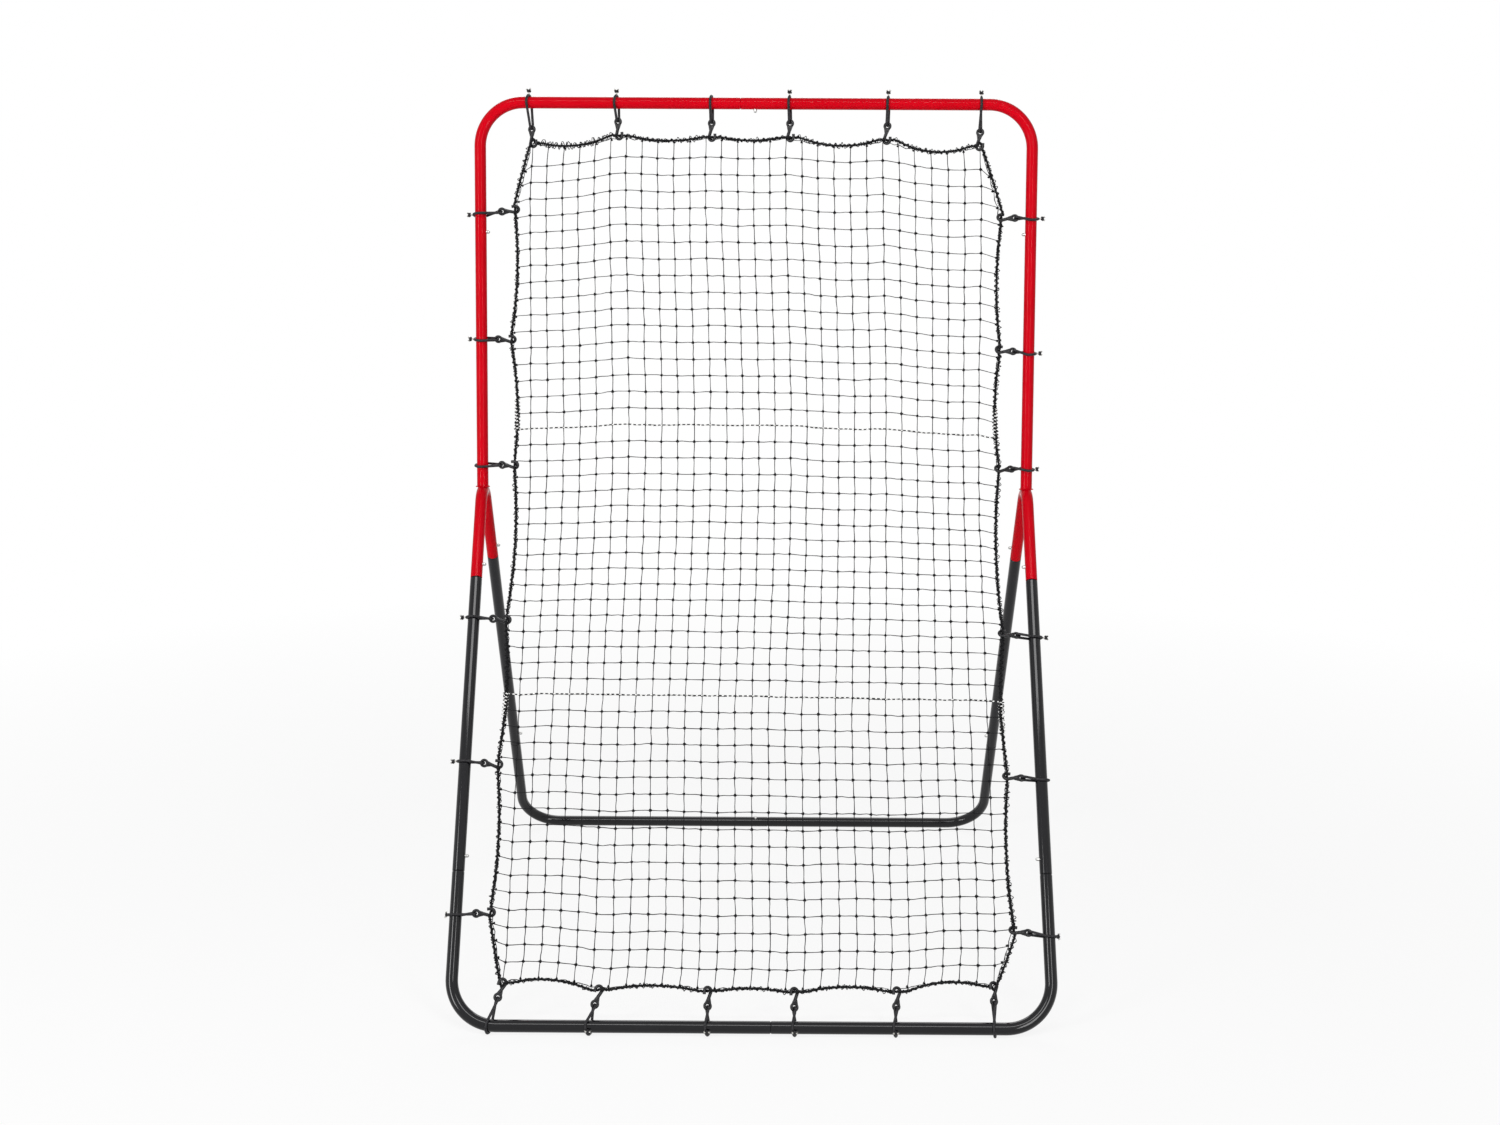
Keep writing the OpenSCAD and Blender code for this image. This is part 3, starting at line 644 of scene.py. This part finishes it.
# net: the two strike zone rows part it into thirds
net = {
    "seed": 5, "columns": 30, "rows": 51, "sides": 6, "reach": 0.430, "edgeHold": 1.3, "softened": 0.5,
    "stretch": 0.0045, "rimGap": 0.005, "cornerDrop": 0.006, "cornerFrom": 0.6, "lean": (0.0015, 0.0075),
    "endDrop": {"left": (0.006, 0.0139, 1), "right": (0.009, 0.015, 2)}, "firstDrop": 0.005,
    "sway": (-0.006, -0.003, 0.003, 0.008, 0.0085, 0.006, 0.001, -0.003, -0.001, 0.001, 0.004),
    "swayLean": 0.35, "fineEnds": 3000, "fineSides": 4000,
    "twine": 0.00078, "thickened": 1.2, "uneven": (0.8, 1.1), "between": (0.3, 0.7),
    "shake": 0.0008, "slack": 0.0008, "uprightSlack": 0.7,
}
netKnot = {
    "size": 0.0021, "twine": 0.00145, "thick": 0.0009, "uneven": (0.85, 1.15), "underCord": 0.6,
    "turn": 0.8, "turnShake": 0.5, "points": 11, "sides": 4,
}
strike = {
    "rows": {17: ("strike_cord_upper", -1), 34: ("strike_cord_lower", 1)}, "radius": 0.0012, "sides": 8,
    "smooth": 3, "over": 0.0034, "between": 0.0016, "sag": (-0.0012, 0.0008),
    "windLength": 0.06, "windPitch": 0.0068, "windReach": 0.0046, "windPoints": 2, "lookAhead": 4,
}


# run by which a row meets the side ropes below its neighbouring knot
def rowDrop(row, group):
    start, fall, power = net["endDrop"][group]
    return start - fall * (row / net["rows"]) ** power + (net["firstDrop"] if row == 1 else 0)


# sideways sway of the uprights at a share of the net's run
def swayAt(share):
    place = share * (len(net["sway"]) - 1)
    index = min(int(place), len(net["sway"]) - 2)
    return net["sway"][index] + (net["sway"][index + 1] - net["sway"][index]) * (place - index)


def nearestTo(course, value, axis):
    return min(course, key=lambda spot: abs(spot[axis] - value)).copy()


# place of an upright across the net, from -1 at the first to 1 at the last
def aimOf(column):
    half = net["columns"] / 2
    return (column - half) / (half - 1)


# knots of the net in (x, run): each upright keeps an even pitch, so the rows carry the edges' dips on
def netGrid():
    columns, rows = net["columns"], net["rows"]
    ends = {}
    for group in ("top", "foot"):
        holds, (_, inward, dips) = holdsOf(group), edges[group]
        corners = [holds[0] - Vector((rope["crossAlong"], 0)), holds[-1] + Vector((rope["crossAlong"], 0))]
        even = spread(edgeCourse(holds, inward, dips), columns - 2)
        fine = spread(edgeCourse(holds, inward, dips), net["fineEnds"])
        soft = spread(edgeCourse(holds, inward, [net["softened"] * dip for dip in dips]), net["fineEnds"])
        tied, drawn = [corners[0]], [None]
        for column in range(1, columns):
            aim = aimOf(column)
            x = even[column - 1].x + swayAt(0 if group == "top" else 1) * (1 - aim * aim)
            tied.append(nearestTo(fine, x, 0))
            drawn.append(nearestTo(soft, x, 0))
        ends[group] = (tied + [corners[1]], drawn)
    (top, topDrawn), (foot, footDrawn) = ends["top"], ends["foot"]
    grid = [[None] * (columns + 1) for _ in range(rows + 1)]
    grid[0], grid[rows] = top, foot
    for row in range(1, rows):
        share = row / rows
        byTop, byFoot = math.exp(-row / net["edgeHold"]), math.exp((row - rows) / net["edgeHold"])
        for column in range(1, columns):
            aim = aimOf(column)
            free = net["reach"] * aim + swayAt(share) * (1 - aim * aim) * (1 + net["swayLean"] * aim)
            x = free + byTop * (top[column].x - free) + byFoot * (foot[column].x - free)
            y = topDrawn[column].y + (footDrawn[column].y - topDrawn[column].y) * share
            y += net["rimGap"] * (1 - 2 * share)
            beyond = max(0, abs(aim) - net["cornerFrom"])
            y += net["cornerDrop"] * (1 - share) * beyond / (1 - net["cornerFrom"])
            lean = net["lean"][aim > 0] * abs(aim)
            grid[row][column] = Vector((x, y + (net["stretch"] + lean) * math.sin(math.pi * share)))
    for group, corner, beside in (("left", 0, 1), ("right", columns, columns - 1)):
        _, inward, dips = edges[group]
        course = edgeCourse([top[corner], *holdsOf(group), foot[corner]], inward, [0, *dips, 0])
        fine = spread(course, net["fineSides"])
        for row in range(1, rows):
            grid[row][corner] = nearestTo(fine, grid[row][beside].y + rowDrop(row, group), 1)
    return grid


# the net's twines and knots; gives the places of its knots in (x, run) and the knots as shaken in space
def makeNet():
    shaker = random.Random(net["seed"])
    columns, rows = net["columns"], net["rows"]
    grid = netGrid()
    spots = [[None] * (columns + 1) for _ in range(rows + 1)]
    for row in range(rows + 1):
        for column in range(columns + 1):
            spot = grid[row][column]
            edge = row in (0, rows) or column in (0, columns)
            size = 0.0 if edge else net["shake"]
            spots[row][column] = netPoint(
                spot.x + shaker.uniform(-size, size), spot.y + shaker.uniform(-size, size),
                shaker.uniform(-1, 1) * size,
            )

    # one twine through a line of knots, thicker at each and slack between them
    def course(line, slack):
        points, radii = [line[0]], [net["twine"] * net["thickened"]]
        for first, second in zip(line, line[1:]):
            for share in net["between"]:
                loose = Vector(shaker.uniform(-slack, slack) for _ in range(3))
                points.append(first.lerp(second, share) + loose)
                radii.append(net["twine"] * shaker.uniform(*net["uneven"]))
            points.append(second)
            radii.append(net["twine"] * net["thickened"])
        return points, radii, False, 0

    uprights = [[spots[row][column] for row in range(rows + 1)] for column in range(1, columns)]
    strands = [course(line, net["slack"] * net["uprightSlack"]) for line in uprights]
    strands += [course(spots[row], net["slack"]) for row in range(1, rows)]
    twine = cordPiece("netTwine", [netTwine], strands, net["sides"])
    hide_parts("net_upper", "net_bend_upper", "net_bend_middle", "net_bend_lower", "net_lower")
    knots = []
    for row in range(1, rows):
        for column in range(1, columns):
            centre = spots[row][column]
            down = (spots[row + 1][column] - spots[row - 1][column]).normalized()
            side = (spots[row][column + 1] - spots[row][column - 1]).normalized()
            normal = down.cross(side).normalized()
            lean = netKnot["turn"] if (row + column) % 2 else -netKnot["turn"]
            angle = shaker.uniform(-netKnot["turnShake"], netKnot["turnShake"]) + lean
            turn = Matrix.Rotation(angle, 3, normal)
            size = netKnot["size"] * shaker.uniform(*netKnot["uneven"])
            size *= netKnot["underCord"] if row in strike["rows"] else 1
            ring = trefoil(centre, normal, turn @ side, size, netKnot["thick"], netKnot["points"])
            knots.append((ring, netKnot["twine"], True, 0))
    knotPiece = cordPiece("netKnots", [netTwine], knots, netKnot["sides"])
    return grid, spots


netPlaces, netSpots = makeNet()
print("net knotted")


# edge meshes gathered on the rope: two twines wound round it, some of their turns standing out as loops
lacing = {
    "seed": 23, "sides": 4, "twine": 0.0008, "uneven": (0.8, 1.15), "tight": 0.0023,
    "windings": ((1, 0.0090, 0.0026), (-1, 0.0120, 0.0031)), "turnSteps": 9, "angleShake": 0.25,
    "swellShake": (-0.0005, 0.0006), "loop": 0.0020, "loopShare": 0.16,
    "swell": {"first": 1.75, "top": 1.15, "side": 1.12, "foot": 0.92}, "topEdge": 0.095, "footEdge": 0.085,
}
# the net's outermost twine, bowed inwards between its meshes, with a hitch on it where no hook is near
selvedge = {
    "bow": ((0.0, 0.0), (0.25, 0.7), (0.5, 1.0), (0.75, 0.6)), "bulge": 0.0036, "bulgeUneven": (0.2, 1.0),
    "wander": 0.002, "uneven": (0.7, 1.2), "hookClear": 0.012, "levelFrom": 0.7, "hitch": 0.0021,
    "hitchIn": 0.003, "hitchWander": 0.001, "hitchThick": 0.0012, "hitchTwine": 1.1, "hitchPoints": 11,
}
# loose fibres that stand off the rope
fuzz = {
    "seed": 31, "perStep": 2, "radius": 0.0002, "tipShare": 0.4, "length": (0.0006, 0.0020),
    "root": 0.0018, "rootRoom": 0.001, "lean": 1.4, "sides": 4,
}


# how thick the twines lie on the rope: a bundle in the first span of the top edge, least at the foot
def swellAt(share):
    spot = ropeCourse[int(share * len(ropeCourse)) % len(ropeCourse)]
    if spot.y > netEnd - lacing["footEdge"]:
        return lacing["swell"]["foot"]
    if spot.y > lacing["topEdge"]:
        return lacing["swell"]["side"]
    bundled = topPlaces[0][1] / 1000 < spot.x < topPlaces[1][1] / 1000
    return lacing["swell"]["first" if bundled else "top"]


def makeWindings(shaker):
    strands = []
    turnSteps = lacing["turnSteps"]
    for hand, pitch, reach in lacing["windings"]:
        turns = round(ropeLength / pitch)
        swell = []
        for _ in range(turns):
            shake = shaker.uniform(*lacing["swellShake"])
            swell.append(shake + (lacing["loop"] if shaker.random() < lacing["loopShare"] else 0))
        points, radii = [], []
        steps = turnSteps * turns
        for step in range(steps):
            centre, _, first, second, room = ropeAt(step / steps)
            turn = step // turnSteps
            fade = (step % turnSteps) / turnSteps
            size = reach + swell[turn] * (1 - fade) + swell[(turn + 1) % turns] * fade
            size = lacing["tight"] + room * (size * swellAt(step / steps) - lacing["tight"])
            angle = hand * 2 * math.pi * step / turnSteps
            angle += shaker.uniform(-lacing["angleShake"], lacing["angleShake"])
            points.append(centre + size * (math.cos(angle) * first + math.sin(angle) * second))
            radii.append(lacing["twine"] * shaker.uniform(*lacing["uneven"]))
        strands.append((points, radii, True, 0))
    windings = cordPiece("edgeWindings", [ropeFibre], strands, lacing["sides"])


def makeSelvedge(shaker):
    columns, rows = net["columns"], net["rows"]
    rim = [(row, 0) for row in range(rows)] + [(rows, column) for column in range(columns)]
    rim += [(row, columns) for row in range(rows, 0, -1)] + [(0, column) for column in range(columns, 0, -1)]
    middle = Vector((0, (netPlaces[0][0].y + netPlaces[rows][0].y) / 2))
    points, radii, strands = [], [], []
    for index, (row, column) in enumerate(rim):
        here = netPlaces[row][column]
        nextRow, nextColumn = rim[(index + 1) % len(rim)]
        there = netPlaces[nextRow][nextColumn]
        step = there - here
        inward = Vector((-step.y, step.x)).normalized()
        if inward.dot(middle - here) < 0:
            inward = -inward
        for share, reach in selvedge["bow"]:
            bow = selvedge["bulge"] * reach * shaker.uniform(*selvedge["bulgeUneven"])
            spot = here + share * step + bow * inward
            points.append(netPoint(spot.x, spot.y, shaker.uniform(-selvedge["wander"], selvedge["wander"])))
            radii.append(lacing["twine"] * shaker.uniform(*selvedge["uneven"]))
        if min((netPoint(*here) - hold).length for hold in holdPoints) < selvedge["hookClear"]:
            continue
        spot = here + selvedge["hitchIn"] * inward
        out = shaker.uniform(-selvedge["hitchWander"], selvedge["hitchWander"])
        centre = netPoint(spot.x, spot.y, out)
        across = (netPoint(*there) - netPoint(*here)).normalized()
        beside = netDown(here.y) if abs(across.x) > selvedge["levelFrom"] else acrossFrame
        normal = across.cross(beside).normalized()
        thick, count = selvedge["hitchThick"], selvedge["hitchPoints"]
        ring = trefoil(centre, normal, across, selvedge["hitch"], thick, count)
        strands.append((ring, lacing["twine"] * selvedge["hitchTwine"], True, 0))
    strands.append((points, radii, True, 0))
    piece = cordPiece("edgeLacing", [netTwine], strands, lacing["sides"])


def makeFuzz():
    shaker = random.Random(fuzz["seed"])
    hairs = []
    count = fuzz["perStep"] * len(ropeCentres)
    for index in range(count):
        centre, along, first, second, room = ropeAt(index / count)
        angle = shaker.uniform(0, 2 * math.pi)
        out = math.cos(angle) * first + math.sin(angle) * second
        root = centre + (fuzz["root"] + fuzz["rootRoom"] * room) * out
        length = shaker.uniform(*fuzz["length"])
        tip = root + length * (out + shaker.uniform(-fuzz["lean"], fuzz["lean"]) * along)
        hairs.append(([root, tip], [fuzz["radius"], fuzz["radius"] * fuzz["tipShare"]], False, 0))
    piece = cordPiece("ropeFuzz", [ropeFibre], hairs, fuzz["sides"])


laceShaker = random.Random(lacing["seed"])
makeWindings(laceShaker)
makeSelvedge(laceShaker)
makeFuzz()
print("edge laced")


# end of a strike zone cord, wound along the side rope from the spot where the cord meets it,
# up the rope where way is -1 and down it where way is 1
def wound(spot, way):
    count = len(ropeCentres)
    start = min(range(count), key=lambda index: (ropeCentres[index] - spot).length)
    if ropeCentres[(start + strike["lookAhead"]) % count].z > ropeCentres[start].z:
        way = -way
    points = []
    perStep = strike["windPoints"]
    for step in range(round(strike["windLength"] / rope["step"] * perStep)):
        centre, _, first, second, _ = ropeAt((start + way * step / perStep) % count / count)
        angle = 2 * math.pi * step / perStep * rope["step"] / strike["windPitch"]
        points.append(centre + strike["windReach"] * (math.cos(angle) * first + math.sin(angle) * second))
    return points


# strike zone cords: each follows one row of knots, in front of them and nearer to the net between them
def makeStrikeCord(row, node, way):
    shaker = random.Random(row)
    columns = net["columns"]
    points = []
    for column in range(columns + 1):
        spot = netSpots[row][column]
        front = acrossFrame.cross(netDown(netPlaces[row][column].y)).normalized()
        if front.y > 0:
            front = -front
        lift = 0.0 if column in (0, columns) else strike["over"]
        points.append(spot + lift * front)
        if column < columns:
            following = netSpots[row][column + 1]
            sag = Vector((0, 0, shaker.uniform(*strike["sag"])))
            points.append(spot.lerp(following, 0.5) + strike["between"] * front + sag)
    points = wound(points[0], way)[::-1] + points[1:-1] + wound(points[-1], way)
    name = "strikeCordUpper" if node.endswith("upper") else "strikeCordLower"
    course = smoothCourse(points, strike["smooth"])
    piece = cordPiece(name, [tracerBraid], [(course, strike["radius"], False, 0)], strike["sides"])
    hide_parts(node)


for row, (node, way) in strike["rows"].items():
    makeStrikeCord(row, node, way)
print("strike zone threaded")


# bungees: a loop round the tube and through the hook's eye, knotted on the far side; slides, in millimetres,
# set the front strand along the tube
bungee = {
    "slides": {
        "top": (3.4, 3.6, 2.4, 2.4, 2.6, 0.8), "foot": (2.8, 4.4, 3.6, 3.6, 3.6, 2.8),
        "left": (-2.8, 3.2, 3.0, 2.2, 2.0, 1.6), "right": (3.0, 2.6, 2.2, 1.6, 2.0, 1.6),
    },
    "girth": 0.0025, "sides": 8, "smooth": 2, "wrapSteps": 14, "eyeSteps": 6, "straight": (0.33, 0.67),
    "footTurn": math.radians(50), "hiddenTurn": math.radians(-72),
    "hidden": {("top", 2), ("left", 2), ("right", 4), ("foot", 0), ("foot", 5)},
}
# knots and frayed ends; those of the ties close above the floor are smaller and have no neck
tieKnot = {
    "size": 0.0031, "cord": 0.0017, "thick": 0.0012, "points": 18, "away": 0.0078, "neck": (0.0018, 0.0015),
    "lean": (0.6, 1.1), "apart": 0.8, "forward": (0.1, 0.5), "tail": 0.0026, "tailRadius": 0.0016,
    "core": (0.0014, 0.0012), "coreShare": 0.6, "frayHairs": 14, "frayReach": 0.0022, "frayRing": 0.0011,
    "frayLength": (0.5, 1.0), "fan": 0.6, "fanUneven": (0.2, 1.0), "hair": (0.00032, 0.00014), "darkEvery": 3,
    "lowBelow": 0.2, "lowSize": 0.75, "lowAway": 0.0022, "lowLean": (0.15, 0.45), "lowFray": 1.3,
}


def tieCourse(tie, up, front, slide):
    cord = rig["cordRadius"]
    bar = tie["hold"] - (hook["span"] + hook["eyeRadius"]) * tie["out"]
    eyeReach = hook["eyeBar"] + cord + rig["softGap"]
    wrap = rig["tubeRadius"] + cord + rig["softGap"]
    lean = math.asin((wrap - eyeReach) / (bar - tie["tube"]).length)
    normal = tie["normal"] if tie["normal"].dot(front) > 0 else -tie["normal"]
    points = []
    for step in range(bungee["wrapSteps"] + 1):
        angle = -lean + (math.pi + 2 * lean) * step / bungee["wrapSteps"]
        points.append(
            tie["tube"] + wrap * (math.cos(angle) * front - math.sin(angle) * up) + math.cos(angle) * slide
        )
    over = []
    for step in range(bungee["eyeSteps"] + 1):
        angle = math.pi - lean - (math.pi - 2 * lean) * step / bungee["eyeSteps"]
        over.append(bar + eyeReach * (math.cos(angle) * normal + math.sin(angle) * tie["out"]))
    first, last = points[0], points[-1]
    points += [last.lerp(over[0], share) for share in bungee["straight"]]
    points += over
    points += [over[-1].lerp(first, share) for share in bungee["straight"]]
    return smoothCourse(points, bungee["smooth"], True)


# thumb knot past the tube, on a pale neck unless it is a low one, with two short frayed ends
def knotStrands(tie, up, front, turn, shaker):
    low = tie["hold"].z < tieKnot["lowBelow"]
    away = math.sin(turn) * front - math.cos(turn) * up
    across = tie["along"]
    wrap = rig["tubeRadius"] + rig["cordRadius"] + rig["softGap"]
    centre = tie["tube"] + (wrap + (tieKnot["lowAway"] if low else tieKnot["away"])) * away
    normal = front if low else away
    size = tieKnot["size"] * (tieKnot["lowSize"] if low else 1)
    ring = trefoil(centre, normal, across, size, tieKnot["thick"], tieKnot["points"])
    strands = [(ring, tieKnot["cord"], True, 0)]
    if not low:
        strands.append(([tie["tube"] + wrap * away, centre], tieKnot["neck"], False, 1))
    for way in (-1, 1):
        lean = shaker.uniform(*tieKnot["lowLean" if low else "lean"])
        aim = lean * away + way * tieKnot["apart"] * across
        aim = (aim + shaker.uniform(*tieKnot["forward"]) * front).normalized()
        root = centre + 0.5 * size * aim
        tip = root + tieKnot["tail"] * aim
        strands.append(([root, tip], tieKnot["tailRadius"], False, 0))
        reach = tieKnot["frayReach"] * (tieKnot["lowFray"] if low else 1)
        strands.append(([tip, tip + tieKnot["coreShare"] * reach * aim], tieKnot["core"], False, 1))
        first, second = sideAxes(aim, up)
        for hair in range(tieKnot["frayHairs"]):
            angle = 2 * math.pi * hair / tieKnot["frayHairs"]
            fan = math.cos(angle) * first + math.sin(angle) * second
            base = tip + tieKnot["frayRing"] * fan
            length = reach * shaker.uniform(*tieKnot["frayLength"])
            end = base + length * (aim + tieKnot["fan"] * fan * shaker.uniform(*tieKnot["fanUneven"]))
            strands.append(([base, end], tieKnot["hair"], False, 1 if hair % tieKnot["darkEvery"] else 0))
    return strands


def makeBungees(name, group, chosen, nodes):
    shaker = random.Random(len(name) + 7 * len(nodes[0]) + chosen[0])  # each piece has its own seed
    strands = []
    for index in chosen:
        tie = tieGroups[group][index]
        up = tie["hold"] - tie["tube"]
        up = (up - up.dot(tie["along"]) * tie["along"]).normalized()
        front = tie["along"].cross(up)
        if front.y > 0:
            front = -front
        slideWay = acrossFrame if group in ("top", "foot") else tie["along"]
        slide = -bungee["slides"][group][index] / 1000 * slideWay
        strands.append((tieCourse(tie, up, front, slide), bungee["girth"], True, 0))
        turn = bungee["footTurn"] if group == "foot" else 0.0
        if (group, index) in bungee["hidden"]:
            turn = bungee["hiddenTurn"]
        strands += knotStrands(tie, up, front, turn, shaker)
    piece = cordPiece(name, [bungeeCover, paleCore], strands, bungee["sides"])
    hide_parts(*nodes)


for group in ("top", "left", "right"):
    makeBungees(group + "Bungees", group, range(6), [group + "_bungees"])
for number in range(6):
    makeBungees("footBungee%d" % (number + 1), "foot", [number], ["foot_bungee_%d" % (number + 1)])
print("bungees tied")


# finishes on the solids
finishOf = {
    "red_powder_coat": redCoat, "black_powder_coat": blackCoat, "zinc_plate": buttonZinc,
    "spring_steel": clipSteel, "hook_plastic": hookPlastic, "net_twine": netTwine, "border_rope": ropeFibre,
    "strike_cord": tracerBraid, "bungee_cord": bungeeCover,
}
for part in frame["record"]["subparts"]:
    solid = bpy.data.objects.get(part["node"])
    if solid is None:
        print("no solid named", part["node"])
        continue
    solid.data.materials.clear()
    solid.data.materials.append(finishOf[part["material_slot"]])
print("finishes on")


# floor, backdrop, light and camera
studio = {
    "floorSize": 16.0, "floorColour": (0.92, 0.92, 0.92), "floorNear": 0.86, "fadeFrom": 1.1, "fadeTo": 3.2,
    "skyLight": 0.2,
    "camera": (0.0053, -3.6767, 1.455), "pitch": 11.183, "yaw": 0.202, "roll": 0.272,
    "focal": 46.344, "sensor": 36, "nearest": 0.05,
    "lamps": (
        ("leftLamp", (-2.9, -2.9, 1.7), (-0.1, 0, 0.8), (0.8, 2.4), 75),
        ("rightLamp", (1.5, -3.5, 1.7), (0.1, 0, 0.8), (0.7, 2.4), 48),
        ("topLamp", (0, -2.6, 3.7), (0, 0, 0.8), (2.8, 0.7), 50),
        ("backLamp", (0, 3.2, 2.8), (0, 0, 0.8), (2.4, 1.6), 34),
    ),
}


# rays that show the background: what the camera sees, also in mirrors and through glass
def seenRays(finish):
    paths = finish.node("ShaderNodeLightPath").socket.node.outputs
    seen = Sock(finish, paths["Is Camera Ray"])
    for ray in ("Is Glossy Ray", "Is Transmission Ray"):
        seen = seen.maths("MAXIMUM", Sock(finish, paths[ray]))
    return seen


def makeFloor():
    sheet = bmesh.new()
    bmesh.ops.create_grid(sheet, x_segments=2, y_segments=2, size=studio["floorSize"] / 2)
    mesh = bpy.data.meshes.new("floor")
    sheet.to_mesh(mesh)
    sheet.free()
    floor = bpy.data.objects.new("floor", mesh)
    bpy.context.collection.objects.link(floor)
    finish = newFinish("paleFloor")
    far = finish.node("ShaderNodeVectorMath", {"operation": "LENGTH"}, finish.place(), output=1)
    white = finish.clamped(far, studio["fadeFrom"], studio["fadeTo"], studio["floorNear"], 1.0)
    matt = finish.node("ShaderNodeBsdfDiffuse", {}, studio["floorColour"])
    glow = finish.node("ShaderNodeEmission", {}, (1, 1, 1, 1), 1.0)
    both = finish.node("ShaderNodeMixShader", {}, seenRays(finish) * white, matt, glow)
    finish.plug(finish.output.inputs[0], both)
    mesh.materials.append(finish.holder)


def makeSky():
    world = bpy.data.worlds.new("studio")
    bpy.context.scene.world = world
    sky = Finish(world, "ShaderNodeOutputWorld")
    soft = sky.node("ShaderNodeBackground", {}, (1, 1, 1, 1), studio["skyLight"])
    white = sky.node("ShaderNodeBackground", {}, (1, 1, 1, 1), 1.0)
    sky.plug(sky.output.inputs[0], sky.node("ShaderNodeMixShader", {}, seenRays(sky), soft, white))


def makeLamp(name, place, aim, size, power):
    lamp = bpy.data.lights.new(name, "AREA")
    lamp.shape = "RECTANGLE"
    lamp.size, lamp.size_y = size
    lamp.energy = power
    holder = bpy.data.objects.new(name, lamp)
    bpy.context.collection.objects.link(holder)
    holder.location = place
    holder.rotation_euler = (Vector(aim) - Vector(place)).to_track_quat("-Z", "Y").to_euler()


def makeCamera():
    camera = bpy.data.cameras.new("camera")
    camera.sensor_width = studio["sensor"]
    camera.sensor_fit = "HORIZONTAL"
    camera.lens = studio["focal"]
    camera.clip_start = studio["nearest"]
    holder = bpy.data.objects.new("camera", camera)
    bpy.context.collection.objects.link(holder)
    holder.matrix_world = Matrix.Translation(studio["camera"]) \
        @ Matrix.Rotation(math.radians(studio["yaw"]), 4, "Z") \
        @ Matrix.Rotation(math.radians(90 - studio["pitch"]), 4, "X") \
        @ Matrix.Rotation(math.radians(studio["roll"]), 4, "Z")
    bpy.context.scene.camera = holder


makeFloor()
makeSky()
for lampSettings in studio["lamps"]:
    makeLamp(*lampSettings)
makeCamera()
bpy.context.scene.view_settings.view_transform = "Standard"
print("studio lit")
